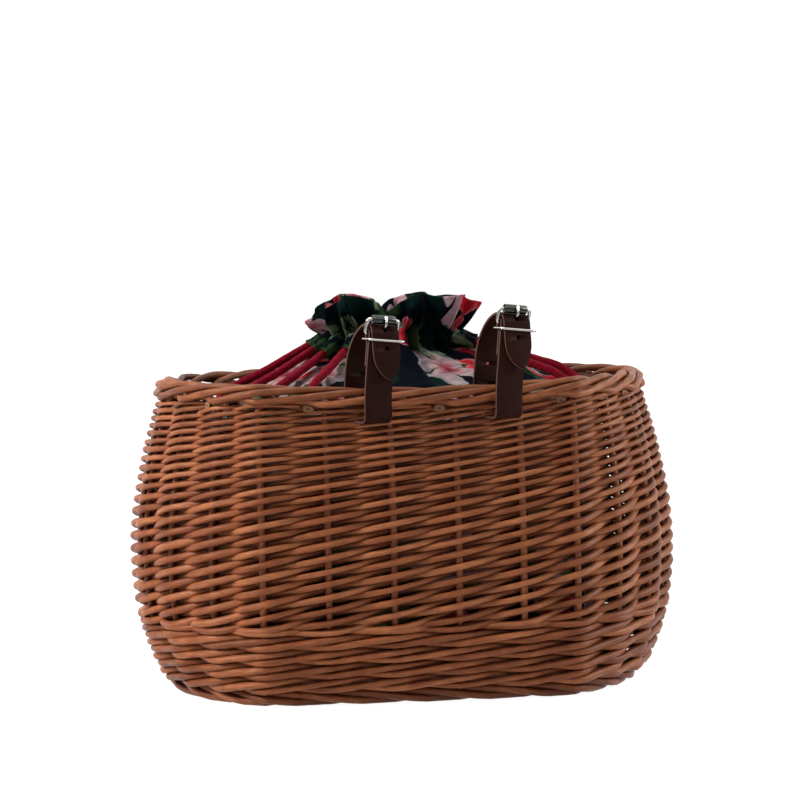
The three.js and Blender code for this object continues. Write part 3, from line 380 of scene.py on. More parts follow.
def metal_material(name, dark, light, smooth):
    """Bright metal with a painted reflection: its colour is banded light and dark by the way its surface
    faces.
    """
    look = Look(name)
    facing = look.parts(look.add("TexCoord").outputs["Normal"])[2]
    marks = look.noise(look.place(), 260, 3)
    shifted = look.calc("MULTIPLY_ADD", facing, 0.5, look.calc("MULTIPLY_ADD", marks, 0.16, 0.42))
    # Painted reflection: bright and dark bands by how far the surface faces up
    band = look.ramp(shifted, (0.0, 0.3), (0.3, 0.7), (0.44, 0.12), (0.56, 0.2), (0.68, 1.0), (0.86, 0.9),
                     (1.0, 0.35))
    rough = look.ramp(marks, (0.3, smooth), (0.7, smooth + 0.1))
    return look.finish(colour=look.blend(band, dark, light), rough=rough, metallic=1,
                       normal=look.bump(marks, 0.05 * MM, 0.4))


def cord_material():
    look = Look("red_cord")
    yarn = look.noise(look.place(), 420, 3)
    inputs = {"Vector": look.stretched(1, 160), "Scale": 1.0, "Distortion": 1.2, "Detail": 2.0,
              "Detail Scale": 2.0}
    threads = look.add("TexWave", inputs, wave_type="BANDS", bands_direction="DIAGONAL").outputs["Fac"]
    colour = look.ramp(yarn, (0.3, (0.17, 0.0008, 0.010)), (0.7, (0.30, 0.0015, 0.020)))
    colour = look.times(0.25, colour, look.ramp(threads, (0.2, 0.6), (0.8, 1.1)))
    normal = look.bump(yarn, 0.3 * MM, 0.5, look.bump(threads, 0.3 * MM, 0.4))
    return look.finish(colour=colour, rough=0.85, specular=0.12, sheen=0.04, normal=normal)


def blossom(look, place, scale, offset, petals, reach, wobble):
    """Flowers scattered over a map: how far out a point lies on its flower, its petals, and a number each."""
    shifted = look.vector("ADD", place, offset)
    warp = look.vector("SUBTRACT", look.noise(shifted, scale * 3, 2, output="Color"), (0.5, 0.5, 0.5))
    warp = look.add("VectorMath", {0: warp, "Scale": wobble / scale}, operation="SCALE").outputs[0]
    shifted = look.vector("ADD", shifted, warp)
    cells = look.cells(shifted, scale, 0.75, "2D")
    number = look.add("SeparateColor", {0: cells["Color"]}).outputs
    parts = look.parts(look.vector("SUBTRACT", shifted, cells["Position"]))
    angle = look.calc("ARCTAN2", parts[1], parts[0])
    turned = look.calc("ADD", angle, look.calc("MULTIPLY", number[0], 6.283))
    lobes = look.calc("ABSOLUTE", look.calc("COSINE", look.calc("MULTIPLY", turned, petals / 2)))
    edge = look.calc("MULTIPLY_ADD", look.calc("POWER", lobes, 0.6), reach * 0.62, reach * 0.38)
    size = look.calc("MULTIPLY_ADD", number[1], 0.5, 0.62)
    return look.calc("DIVIDE", cells["Distance"], look.calc("MULTIPLY", edge, size)), lobes, number[2]


def print_material():
    """Cloth printed with scattered flowers and leaves on a near black ground."""
    look = Look("liner_print")
    place = look.map()
    painted = look.ramp(look.noise(place, 28, 3), (0.35, (0.0016, 0.002, 0.005)),
                        (0.6, (0.002, 0.004, 0.007)), (0.78, (0.002, 0.012, 0.010)))

    leaf, _, number = blossom(look, place, 24, (0.37, 0.11, 0), 2, 0.6, 0.35)
    colour = look.blend(look.rise(leaf, 0.1, 0.9), (0.07, 0.13, 0.06), (0.005, 0.035, 0.014))
    colour = look.blend(look.rise(number, 0.3, 0.36), colour, (0.003, 0.014, 0.012))
    painted = look.blend(look.fall(leaf, 0.88, 1.0), painted, colour)

    fern, _, number = blossom(look, place, 30, (0.91, 0.53, 0), 4, 0.5, 0.5)
    mask = look.calc("MULTIPLY", look.fall(fern, 0.8, 0.96), look.rise(number, 0.62, 0.66))
    painted = look.blend(mask, painted, look.blend(fern, (0.30, 0.36, 0.25), (0.02, 0.07, 0.03)))

    flower, lobes, number = blossom(look, place, 17, (0.13, 0.71, 0), 5, 0.5, 0.28)
    mask = look.calc("MULTIPLY", look.fall(flower, 0.92, 1.0), look.rise(number, 0.36, 0.4))
    pale = look.ramp(flower, (0.0, (0.45, 0.02, 0.03)), (0.25, (0.55, 0.09, 0.12)),
                     (0.55, (0.68, 0.36, 0.44)), (0.95, (0.74, 0.56, 0.63)))
    deep = look.ramp(flower, (0.0, (0.20, 0.001, 0.004)), (0.5, (0.46, 0.006, 0.016)),
                     (0.8, (0.58, 0.05, 0.07)), (1.0, (0.68, 0.30, 0.34)))
    veins = look.noise(look.stretched(160, 60), 1, 3)
    colour = look.blend(look.rise(number, 0.68, 0.72), pale, deep)
    colour = look.times(0.7, colour, look.ramp(veins, (0.3, 0.62), (0.7, 1.15)))
    colour = look.times(0.75, colour, look.ramp(lobes, (0.0, 0.35), (0.45, 1.0)))
    painted = look.blend(mask, painted, colour)

    # Broad pale blooms lie over the smaller flowers, in a band between the rim and the neck
    bloom, lobes, number = blossom(look, place, 13, (0.545, 0.36, 0), 4, 0.52, 0.4)
    mask = look.calc("MULTIPLY", look.fall(bloom, 0.94, 1.0), look.rise(number, 0.3, 0.34))
    band = look.ramp(look.parts(place)[1], (0.255, 0.0), (0.265, 1.0), (0.375, 1.0), (0.39, 0.0))
    mask = look.calc("MULTIPLY", mask, band)
    streaks = look.noise(look.stretched(60, 190), 1, 4)
    colour = look.ramp(bloom, (0.0, (0.30, 0.01, 0.02)), (0.2, (0.56, 0.12, 0.16)), (0.5, (0.66, 0.42, 0.47)),
                       (0.95, (0.62, 0.55, 0.56)))
    colour = look.times(0.8, colour, look.ramp(streaks, (0.35, 0.4), (0.6, 1.1)))
    colour = look.times(0.8, colour, look.ramp(lobes, (0.0, 0.15), (0.35, 1.0)))
    painted = look.blend(mask, painted, colour)

    weave = look.cells(place, 1900, 0.2, "2D")["Distance"]
    creases = look.bump(look.noise(place, 42, 4, 0.6), 6 * MM, 0.55)
    normal = look.bump(weave, 0.1 * MM, 0.4, creases)
    return look.finish(colour=painted, rough=0.7, specular=0.025, normal=normal)


WILLOW = willow_material()
CUT_WILLOW = cut_willow_material()
LEATHER = leather_material()
LEATHER_EDGE = leather_edge_material()
# The dark and light colours are the two ends of each metal's painted reflection bands
NICKEL = metal_material("nickel", (0.07, 0.06, 0.055), (0.80, 0.77, 0.73), 0.14)
ROLLER_STEEL = metal_material("roller_steel", (0.008, 0.010, 0.009), (0.09, 0.10, 0.092), 0.22)
RED_CORD = cord_material()
PRINT = print_material()


# Drawstrings: bights of cord pulled out of the casing, tucked behind the rim

CORD_DIAMETER = 0.006
CORD_SIDES = 18
CORD_STRANDS = 3
CORD_LAY = 0.026
CORD_GROOVE = 0.07
CORD_STEPS = 14
CORD_EASE = 6
CORD_ROUTES = {
    "left_drawstring_long": [
        (-0.061, -0.004, 0.242), (-0.0705, -0.009, 0.236), (-0.0805, -0.014, 0.2303),
        (-0.090, -0.019, 0.2248), (-0.100, -0.024, 0.220), (-0.1095, -0.0285, 0.2154),
        (-0.1195, -0.032, 0.2098), (-0.129, -0.027, 0.2064), (-0.132, -0.017, 0.2074),
        (-0.126, -0.008, 0.2122), (-0.116, -0.005, 0.2178), (-0.105, -0.003, 0.2225),
        (-0.0945, -0.0005, 0.2276), (-0.084, 0.0015, 0.2333), (-0.073, 0.004, 0.2392),
        (-0.0625, 0.006, 0.2444)],
    "left_drawstring_short": [
        (-0.055, -0.016, 0.2392), (-0.0625, -0.0225, 0.2339), (-0.070, -0.0285, 0.229),
        (-0.0775, -0.035, 0.2242), (-0.085, -0.041, 0.220), (-0.0925, -0.0475, 0.2152),
        (-0.097, -0.056, 0.2082), (-0.0945, -0.065, 0.201), (-0.086, -0.070, 0.1995),
        (-0.0765, -0.0675, 0.2073), (-0.070, -0.0605, 0.2148), (-0.064, -0.053, 0.2206),
        (-0.058, -0.045, 0.2252), (-0.052, -0.0375, 0.2302), (-0.046, -0.0295, 0.2356),
        (-0.040, -0.022, 0.241)],
    "right_drawstring": [
        (0.0525, -0.005, 0.2432), (0.0635, -0.010, 0.239), (0.0745, -0.015, 0.2348),
        (0.086, -0.020, 0.2306), (0.097, -0.025, 0.2263), (0.108, -0.030, 0.2218),
        (0.1195, -0.0345, 0.2138), (0.130, -0.030, 0.208), (0.133, -0.019, 0.210),
        (0.126, -0.0095, 0.2178), (0.114, -0.007, 0.2256), (0.102, -0.004, 0.229),
        (0.090, -0.0015, 0.2333), (0.0785, 0.001, 0.2373), (0.0665, 0.0035, 0.2413),
        (0.0545, 0.006, 0.2452)],
}


def eased(path, reach):
    """The path with its bends evened out, its two ends kept."""
    padded = np.vstack([2 * path[0] - path[reach:0:-1], path, 2 * path[-1] - path[-2:-reach - 2:-1]])
    kernel = np.ones(2 * reach + 1) / (2 * reach + 1)
    return np.column_stack([np.convolve(padded[:, k], kernel, "valid") for k in range(3)])


def add_cord(name, route):
    path = eased(spline(route, CORD_STEPS), CORD_EASE)
    along = lengths_along(path)
    tangent = tangents(path)
    out = unit(UP - tangent * tangent[:, 2:3])
    side = np.cross(tangent, out)
    angles = turns(CORD_SIDES)
    lay = 2 * math.pi * along[:, None] / CORD_LAY
    strands = np.abs(np.cos(CORD_STRANDS / 2 * (angles[None, :] - lay)))
    reach = CORD_DIAMETER / 2 * (1 - CORD_GROOVE + CORD_GROOVE * strands)
    rings = (path[:, None] + out[:, None] * (reach * np.cos(angles))[..., None]
             + side[:, None] * (reach * np.sin(angles))[..., None])
    piece = Piece(name + "_cord")
    piece.rings(rings, along=along, caps=(0, 0))
    cord = piece.build([RED_CORD], "liner", name, slot="red_cord")


for cord_name, cord_route in CORD_ROUTES.items():
    add_cord(cord_name, cord_route)


# The wall: a barrel whose plan is an ellipse with one flat face

WALL_TOP = 0.211
BELLY_HEIGHT = 0.099
# Half width, the face's depth and the back's depth, each at the base, the belly and the rim
HALF_WIDTHS = (0.163, 0.190, 0.169)
FACE_DEPTHS = (0.100, 0.118, 0.107)
BACK_DEPTHS = (0.105, 0.128, 0.108)
FACE_HALF_WIDTH = 0.1084
FACE_CROWN = 0.004
RIM_DIP = 0.004
FOOT_TUCK = 2.4
RIM_TUCK = 1.8
STAKES = 25
STAKE_RADIUS = 0.0024
FACE_INTERVALS = 5
END_INTERVALS = STAKES - FACE_INTERVALS
FACE_PITCH = 0.0448
TOUCH = 0.0001


def barrel(z, base, belly, rim):
    z = np.asarray(z, float)
    low = belly - (belly - base) * np.clip(1 - z / BELLY_HEIGHT, 0, None) ** FOOT_TUCK
    above = np.clip((z - BELLY_HEIGHT) / (WALL_TOP - BELLY_HEIGHT), 0, None)
    return np.where(z < BELLY_HEIGHT, low, belly - (belly - rim) * above ** RIM_TUCK)


def outline(z):
    """The plan's half width, face depth, back depth, front depth and corner angle at a height."""
    width, face, back = (barrel(z, *sizes) for sizes in (HALF_WIDTHS, FACE_DEPTHS, BACK_DEPTHS))
    front = face / np.sqrt(1 - (FACE_HALF_WIDTH / width) ** 2)
    return width, face, back, front, np.arccos(FACE_HALF_WIDTH / width)


def ellipse_point(plan, angle):
    width, _, back, front, _ = plan
    depth = np.where(np.sin(angle) > 0, back, front)
    return np.stack([width * np.cos(angle), depth * np.sin(angle)], axis=-1)


def equal_arc_angles():
    """Angles of the stakes past the face, at equal steps of arc at the belly."""
    plan = outline(BELLY_HEIGHT)
    corner = float(plan[4])
    angles = np.linspace(-corner, math.pi + corner, 2001)
    arcs = lengths_along(ellipse_point(plan, angles))
    wanted = arcs[-1] * np.arange(END_INTERVALS + 1) / END_INTERVALS
    return np.interp(wanted, arcs, angles), corner


STAKE_ANGLES, BELLY_CORNER = equal_arc_angles()


def end_stake_point(plan, step):
    angle = STAKE_ANGLES[step]
    squeeze = plan[4] / BELLY_CORNER
    past_back = math.pi + (angle - math.pi) * squeeze
    angle = np.where(angle < 0, angle * squeeze, np.where(angle > math.pi, past_back, angle))
    return ellipse_point(plan, angle)


def face_x(turn):
    last = FACE_INTERVALS - 1
    last_x = -FACE_HALF_WIDTH + FACE_PITCH * last
    return np.where(turn <= last, -FACE_HALF_WIDTH + FACE_PITCH * turn,
                    last_x + (FACE_HALF_WIDTH - last_x) * (turn - last))


def plan_point(place, z):
    """Plan points at places round the wall, counted in stakes from the face's left corner."""
    place, z = np.broadcast_arrays(np.asarray(place, float), np.asarray(z, float))
    turn = np.mod(place, STAKES)
    plan = outline(z)
    x = face_x(np.minimum(turn, FACE_INTERVALS))
    on_face = np.stack([x, -plan[1] - FACE_CROWN * (1 - (x / FACE_HALF_WIDTH) ** 2)], axis=-1)
    past = np.clip(turn - FACE_INTERVALS, 0, END_INTERVALS)
    step = np.minimum(past.astype(int), END_INTERVALS - 1)
    share = (past - step)[..., None]
    on_end = end_stake_point(plan, step) * (1 - share) + end_stake_point(plan, step + 1) * share
    return np.where((turn <= FACE_INTERVALS)[..., None], on_face, on_end)


def dip(place, z):
    """The rim sinks a little towards the middle of the face, and the rows below follow it."""
    turn = np.mod(place, STAKES)
    share = 1 - (face_x(np.minimum(turn, FACE_INTERVALS)) / FACE_HALF_WIDTH) ** 2
    return np.where(turn > FACE_INTERVALS, 0, RIM_DIP * share * (np.asarray(z) / WALL_TOP) ** 2)


def along_wall(place, z):
    """The way along the wall in plan, taken over a short step to either side."""
    return unit(plan_point(place + 0.2, z) - plan_point(place - 0.2, z))


def wall(place, z, outward):
    """Points moved square to the wall from the stakes' centre lines, and the way out there."""
    place, z, outward = np.broadcast_arrays(np.asarray(place, float), np.asarray(z, float), outward)
    plan = plan_point(place, z)
    along = along_wall(place, z)
    rise = 2 * MM
    growth = (plan_point(place, z + rise) - plan_point(place, z - rise)) / (2 * rise)
    out = np.stack([along[..., 1], -along[..., 0], np.zeros_like(z)], axis=-1)
    out[..., 2] = -(growth[..., 0] * out[..., 0] + growth[..., 1] * out[..., 1])
    out = unit(out)
    points = np.concatenate([plan, (z - dip(place, z))[..., None]], axis=-1) + out * outward[..., None]
    return points, out


# Willow rods

rng = np.random.default_rng(7)
fractal.seed_set(5)
# A rod's slow swells: size and length. Its twig joints: spacing, length and size
SWELLS = ((0.035, 0.021), (0.025, 0.0083))
JOINT_SPACING = 0.09
JOINT_LENGTH = 0.0016
JOINT_SIZE = 0.1
# For each kind of rod, the sides of its ring and how far its line wanders, in millimetres
SIDES = {"stake": 12, "siding": 9, "wale": 10, "foot": 12, "base rod": 8, "base stick": 14}
WANDER = {"stake": 0.12, "siding": 0.1, "wale": 0.08, "base rod": 0.05, "base stick": 0.0}
WANDER_STEP = 9


def resampled(values, places):
    """Values at places between whole numbers, for one column or for several."""
    return np.interp(places, np.arange(len(values)), values)


def lively(points, radii, kind):
    """Slow swells in a rod's thickness, a few joints where twigs were, and a wander of its line."""
    along = lengths_along(points)
    phase = rng.uniform(0, 2 * math.pi, 3)
    swell = 1 + sum(size * np.sin(along / length + shift) for (size, length), shift in zip(SWELLS, phase))
    for place in rng.uniform(0, along[-1], max(1, int(along[-1] / JOINT_SPACING))):
        swell = swell + JOINT_SIZE * np.exp(-((along - place) / JOINT_LENGTH) ** 2)
    drift = rng.normal(0, 1, (max(2, len(points) // WANDER_STEP), 3))
    knots = np.linspace(0, len(drift) - 1, len(points))
    wander = np.stack([resampled(drift[:, k], knots) for k in range(3)], axis=-1)
    return points + wander * (WANDER[kind] * MM), radii * swell


# Stakes, each of which lies down at the top as a strand of the border

# Intervals along the rim, outwards and up from the rim, in millimetres
BORDER_LAY = np.array([
    (0, 0, -6), (0.1, 0.3, -2.2), (0.4, 1.2, 1), (0.75, 3.4, 0.7), (0.97, 6.4, -1.6),
    (1.2, 7.4, -1), (1.6, 7.7, 1.8), (2, 7.4, 4.2), (2.5, 5.8, 7), (3, 2.6, 8.8),
    (3.5, -1.4, 8.6), (4, -4.8, 5.8), (4.3, -5.6, 0.8), (4.52, -3, -3.4), (4.75, 4.2, -4.7)])
# A stake's radius by the length along it
STAKE_TAPER = ((0, 0.2, 0.26, 0.42), (STAKE_RADIUS, 0.0025, 0.0025, 0.0022))
STAKE_FOOT = 0.0089
END_SLANT = -1.6


def add_stake(index):
    lay = spline(BORDER_LAY, 5)
    heights = np.linspace(STAKE_FOOT, WALL_TOP + BORDER_LAY[0, 2] * MM, 30)[:-1]
    place = np.concatenate([np.full(len(heights), float(index)), index + lay[:, 0]])
    z = np.concatenate([heights, WALL_TOP + lay[:, 2] * MM])
    outward = np.concatenate([np.zeros(len(heights)), lay[:, 1] * MM])
    points, out = wall(place, z, outward)
    points, radii = lively(points, np.interp(lengths_along(points), *STAKE_TAPER), "stake")
    piece = Piece(f"willow_stake_{index + 1:02d}")
    piece.rod(points, radii, out, SIDES["stake"], rng.uniform(0.55, 1), slant=(0, END_SLANT))
    piece.build_willow(f"stake_{index + 1:02d}")


for stake_index in range(STAKES):
    add_stake(stake_index)


# The straps' frames: width, inwards, up from the slot in the weave

STRAP_WIDTH = 0.020
STRAP_THICKNESS = 0.0022
STRAP_YAW = math.radians(20)
STRAP_LEAN = math.radians(6)
LEAN_START, LEAN_END = 0.004, 0.033
STRAP_BEND_RADIUS = 0.005
STRAP_TIP_LENGTH = 0.018
STRAP_TIP_DROP = 0.030
TIP_SWING = 0.0072
TIP_FORWARD = 0.0018
CHAPE_LENGTH = 0.022
STRAP_HOLE_RADIUS = 0.0015
FRONT_LEG = -0.0155
INNER_LEG = 0.018
SLOT_HEIGHT = 0.2
STRAPS = {"left": {"stake": 2, "roller": 0.0695}, "right": {"stake": 4, "roller": 0.074}}
WIRE_RADIUS = 0.00125
ROLLER_RADIUS = 0.003
ROLLER_LENGTH = 0.0166
ROLLER_FORWARD = 0.003
HEEL_DROP = 0.010
FRAME_HALF_WIDTH = 0.013
PRONG_RADIUS = 0.001
PRONG_CROSSING = math.radians(140)
PRONG_SWING = math.radians(14)
KEEPER_WIRE_RADIUS = 0.00085
KEEPER_DROP = 0.0038
KEEPER_SLIDE = 0.014
KEEPER_SPREAD = 0.0033
CLEARANCE = 0.0003
FIT = CLEARANCE + 0.0001
FOLD_RADIUS = WIRE_RADIUS + FIT + STRAP_THICKNESS / 2
# A strap stands this far from the middle of the stake to its right
STAKE_GAP = 0.0026 + 1.6 * MM

LEAN_HEIGHTS = np.linspace(-0.01, 0.09, 401)
LEAN_ANGLES = STRAP_LEAN * smoothstep(LEAN_START, LEAN_END, LEAN_HEIGHTS)
LEAN_X, LEAN_Z = (np.concatenate([[0], np.cumsum(part(LEAN_ANGLES[:-1]) * np.diff(LEAN_HEIGHTS))])
                  for part in (np.sin, np.cos))
LEAN_Z = LEAN_HEIGHTS[0] + LEAN_Z


def lean_at(up):
    return tuple(np.interp(up, LEAN_HEIGHTS, values) for values in (LEAN_ANGLES, LEAN_X, LEAN_Z))


class Buckle:
    """The buckle's bars and the strap's frame, for one strap."""

    def __init__(self, side):
        stake, roller_height = STRAPS[side]["stake"], STRAPS[side]["roller"]
        self.side = side
        self.heel = np.array([FRONT_LEG + FOLD_RADIUS, roller_height - HEEL_DROP])
        self.roller = np.array([self.heel[0] - ROLLER_FORWARD, roller_height])
        over_roller = ROLLER_RADIUS + FIT + STRAP_THICKNESS / 2
        arm = self.roller - self.heel
        self.billet_radius = float(np.hypot(*arm)) - over_roller
        self.frame_angle = math.atan2(arm[1], arm[0])
        self.place = stake - (STAKE_GAP + STRAP_WIDTH / 2 / math.cos(STRAP_YAW)) / FACE_PITCH
        self.slot = wall(self.place, SLOT_HEIGHT, 0.0)[0]
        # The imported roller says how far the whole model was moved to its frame
        low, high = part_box(f"{side}_roller")
        self.slot = self.slot + np.array((low + high) / 2) - self.world([0, *self.roller])

    def world(self, points):
        """From the strap's frame, leaned and turned, to the world."""
        points = np.asarray(points, float)
        across, inward, up = points[..., 0], points[..., 1], points[..., 2]
        angle, spine_x, spine_z = lean_at(up)
        x = spine_x + across * np.cos(angle)
        z = spine_z - across * np.sin(angle)
        cos, sin = math.cos(STRAP_YAW), math.sin(STRAP_YAW)
        return np.stack([x * cos - inward * sin, x * sin + inward * cos, z], axis=-1) + self.slot


BUCKLES = [Buckle(strap_side) for strap_side in STRAPS]
# The stake to the right of each slot, and the slot's height with the rim's dip taken off
SLOTS = [(STRAPS[buckle.side]["stake"], float(buckle.slot[2] + dip(buckle.place, buckle.slot[2])))
         for buckle in BUCKLES]


# Siding: rods that climb two rows in each interval, in front of and behind the stakes in turn

SEAM_STAKE = 15
CLIMB_ROWS = 2
CLIMB = CLIMB_ROWS * STAKES + 1
# The rods thin towards their tips, and the rows lie closer as they do: height, and pitch in millimetres
ROW_PITCHES = np.array([(0.0532, 4.45), (0.108, 4.5), (0.122, 4.4), (0.137, 4.05), (0.150, 3.55),
                        (0.1645, 3.15), (0.178, 2.9), (0.192, 2.55), (0.2085, 2.4)])
ROW_HEIGHTS = np.linspace(ROW_PITCHES[0, 0], ROW_PITCHES[-1, 0], 400)
ROW_STEPS = np.diff(ROW_HEIGHTS) / (np.interp(ROW_HEIGHTS[1:], *ROW_PITCHES.T) * MM)
ROW_NUMBERS = np.concatenate([[0], np.cumsum(ROW_STEPS)])
SIDING_RUNS = int(ROW_NUMBERS[-1] * STAKES)
# Heights, and a rod's radius there as a share of its row's pitch
ROW_FILL = ((0.15, 0.185), (0.49, 0.57))
END_FILL = 0.24
# Where the basket's ends begin and where the rods lie closest, from its middle
END_REACH = (0.095, 0.13)
# Painted shade: how much darker a rod is made where it passes behind a stake
PAINTED_BEHIND_SHADE = 0.55
SLOT_SPREAD = 0.0007
SLOT_REACH = 0.008
# Each strap goes through the wall this share of an interval past the stake before it
SLOT_SHARE = 0.68
ROW_SCATTER = 0.18 * MM
ROD_STEPS = 9
# How far a rod overshoots its first stake and its last, in intervals
BUTT_OVERSHOOT, TIP_OVERSHOOT = 0.12, 0.3
# A rod's radius by the share of its length
ROD_TAPER = ((0, 0.08, 0.92, 1), (1.05, 1, 1, 0.85))


def even_height(run):
    return np.interp(np.asarray(run, float) / STAKES, ROW_NUMBERS, ROW_HEIGHTS)


def row_height(run):
    """Rows part to leave the slots that the straps pass through, where no rod crosses over."""
    run = np.asarray(run, float)
    height = even_height(run)
    place = np.mod(run + SEAM_STAKE, STAKES)
    for stake, slot_height in SLOTS:
        for station, climbed in ((stake - 1, -SLOT_SHARE), (stake, 1 - SLOT_SHARE)):
            middle = np.interp(slot_height, ROW_HEIGHTS, ROW_NUMBERS)
            rows = np.interp(height, ROW_HEIGHTS, ROW_NUMBERS) - middle - CLIMB_ROWS * climbed
            pitch = np.interp(slot_height, *ROW_PITCHES.T) * MM
            fade = np.clip(1 - np.abs(rows) * pitch / SLOT_REACH, 0, 1)
            height = height + np.where(np.abs(place - station) < 0.01, SLOT_SPREAD * fade * np.sign(rows), 0)
    return height


def row_radius(run):
    fill = np.interp(even_height(run), *ROW_FILL)
    return fill * (row_height(run + STAKES) - row_height(run - STAKES)) / 2


def towards_end(points):
    """Rods lie closest at the two ends of the basket: a share that is one there."""
    return smoothstep(*END_REACH, np.abs(points[:, 0]))


def siding_rod(start):
    """One rod's stations from its butt behind a stake up to its tip under the border."""
    runs = np.arange(start, SIDING_RUNS + CLIMB, CLIMB)
    inner = np.clip(runs, STAKES, SIDING_RUNS - STAKES)
    height = np.clip(row_height(runs), ROW_HEIGHTS[0], ROW_HEIGHTS[-1])
    place = (SEAM_STAKE + start + np.arange(len(runs))).astype(float)
    radius = row_radius(inner) * (1 + END_FILL * towards_end(plan_point(place, height)))
    side = np.where(runs % 2 == 0, 1, -1) * (STAKE_RADIUS + radius + TOUCH)
    place[0] -= BUTT_OVERSHOOT
    place[-1] += TIP_OVERSHOOT
    return place, height, side, radius


def add_siding():
    bands = [Piece(f"willow_siding_{i + 1}") for i in range(4)]
    for order in range(CLIMB):
        place, height, side, radius = siding_rod(order - CLIMB * (1 + order % 2))
        height = height + rng.normal(0, ROW_SCATTER, len(height))
        stations, out = wall(place, height, side)
        points, outs = spline(stations, ROD_STEPS), spline(out, ROD_STEPS)
        shares = np.linspace(0, len(radius) - 1, len(points))
        radii = resampled(radius, shares) * rng.uniform(0.94, 1.06)
        points, radii = lively(points, radii * np.interp(shares / shares[-1], *ROD_TAPER), "siding")
        # Painted shade: the rod darkens where it passes behind the stakes
        depth = PAINTED_BEHIND_SHADE * smoothstep(0, 1, resampled(-side / np.abs(side).max(), shares))
        band = bands[order % len(bands)]
        band.rod(points, radii, outs, SIDES["siding"], rng.uniform(0.55, 1.05), depth)
    for i, band in enumerate(bands):
        band.build_willow(f"side_weave_{i + 1}")


add_siding()


# Wale: three strands, each outside two stakes and inside the next

WALE_STRANDS = 3
WALE_COURSES = 4
WALE_PITCH = 0.010
WALE_STEP_INTERVALS = 3
WALE_RADIUS = 0.0024
WALE_END_FILL = 0.16
WALE_RODS = 12
WALE_STEPS = 6
FOOT_RADIUS = 0.0056
FOOT_FLAT = 0.0005
FOOT_CENTRE = FOOT_RADIUS - FOOT_FLAT
FOOT_TOP = FOOT_CENTRE + FOOT_RADIUS


def wale_height(run):
    course, place = divmod(run, STAKES)
    climb = max(0, place - (STAKES - WALE_STEP_INTERVALS)) / WALE_STEP_INTERVALS
    return FOOT_TOP + WALE_PITCH / 2 + WALE_PITCH * (course + climb)


def wale_stations(strand):
    """The strand's places, heights and ways out, at each stake and half way to the next."""
    quarter = WALE_PITCH / 4
    offset = STAKE_RADIUS + WALE_RADIUS + TOUCH
    # The rise and the way out at the stake, then past it, for each of the three strokes
    strokes = ((0, -offset, -1.1 * quarter, 0), (-quarter, offset, 0, offset + 0.4 * MM),
               (quarter, offset, 1.1 * quarter, 0))
    stations = []
    for run in range(STAKES * WALE_COURSES - WALE_STEP_INTERVALS):
        rise, out, rise_past, out_past = strokes[(run + strand) % WALE_STRANDS]
        place = run + SEAM_STAKE
        z = wale_height(run)
        between = (z + wale_height(run + 1)) / 2
        stations += [(place, z + rise, out), (place + 0.5, between + rise_past, out_past)]
    return np.array(stations)


def pieced(count, pieces, low, high):
    """A value for each rod that a strand is pieced from, with short changes between them."""
    joins = np.linspace(0, count - 1, pieces + 1)[1:-1]
    values = rng.uniform(low, high, pieces)
    places = np.sort(np.concatenate([[0], joins - 1.5, joins + 1.5, [count - 1]]))
    return np.interp(np.arange(count), places, np.repeat(values, 2))


def add_wale():
    for strand in range(WALE_STRANDS):
        place, height, outward = wale_stations(strand).T
        points, out = wall(place, height, outward)
        curve, outs = spline(points, WALE_STEPS), spline(out, WALE_STEPS)
        inward = spline(np.column_stack([-outward, outward]), WALE_STEPS)[:, 0]
        # Painted shade: the strand darkens where it passes inside the stakes
        depth = PAINTED_BEHIND_SHADE * smoothstep(0, 1, inward / (2 * WALE_RADIUS))
        piece = Piece(f"willow_wale_{strand + 1}")
        radii = WALE_RADIUS * pieced(len(curve), WALE_RODS, 0.88, 1.04)
        curve, radii = lively(curve, radii * (1 + WALE_END_FILL * towards_end(curve)), "wale")
        piece.rod(curve, radii, outs, SIDES["wale"], pieced(len(curve), WALE_RODS, 0.5, 1), depth)
        piece.build_willow(f"wale_strand_{strand + 1}")


add_wale()


# Foot: rods twisted into a rope that the basket stands on

FOOT_STRANDS = 3
FOOT_STROKES = 25
FOOT_RODS = 18
FOOT_STATIONS = STAKES * 2
FOOT_STEPS = 10
FOOT_STRAND_RADIUS = FOOT_RADIUS * 0.49


def foot_line():
    plan = plan_point(np.arange(FOOT_STATIONS) / 2, FOOT_CENTRE)
    line = np.column_stack([plan, np.full(len(plan), FOOT_CENTRE)])
    return spline(np.vstack([line, line[:1]]), FOOT_STEPS)[:-1]


def add_foot():
    line = foot_line()
    out = np.cross(tangents(line, loop=True), UP)
    # Strands follow each other round the ring, so that three laps make one closed rod
    laps, outs = np.vstack([line] * FOOT_STRANDS), np.vstack([out] * FOOT_STRANDS)
    angle = -2 * math.pi * FOOT_STROKES / FOOT_STRANDS * (np.arange(len(laps)) / len(line))
    across = outs * np.cos(angle)[:, None] + UP * np.sin(angle)[:, None]
    points = laps + across * (FOOT_RADIUS - FOOT_STRAND_RADIUS)
    radii = FOOT_STRAND_RADIUS * pieced(len(points), FOOT_RODS, 0.93, 1.0)
    points[:, 2] = np.maximum(points[:, 2], radii)
    piece = Piece("willow_foot")
    tint = pieced(len(points), FOOT_RODS, 0.45, 0.95)
    piece.rod(points, radii, across, SIDES["foot"], tint, loop=True)
    piece.build_willow("foot_ring")


add_foot()


# Base: rods side by side over stiff sticks

BASE_THICKNESS = 0.005
BASE_EDGE_GAP = 0.0004
BASE_STICKS = 5
BASE_STICK_RADIUS = 0.0032
BASE_STICK_RAISE = 0.002
BASE_BOTTOM = BASE_STICK_RAISE + 2 * BASE_STICK_RADIUS
BASE_ROD_PITCH = 0.0048
BASE_ROD_RADIUS = BASE_THICKNESS / 2 * 0.9
BASE_STEPS = 30
HUMP_REACH = 0.012
HUMP_HEIGHT = 0.25 * MM


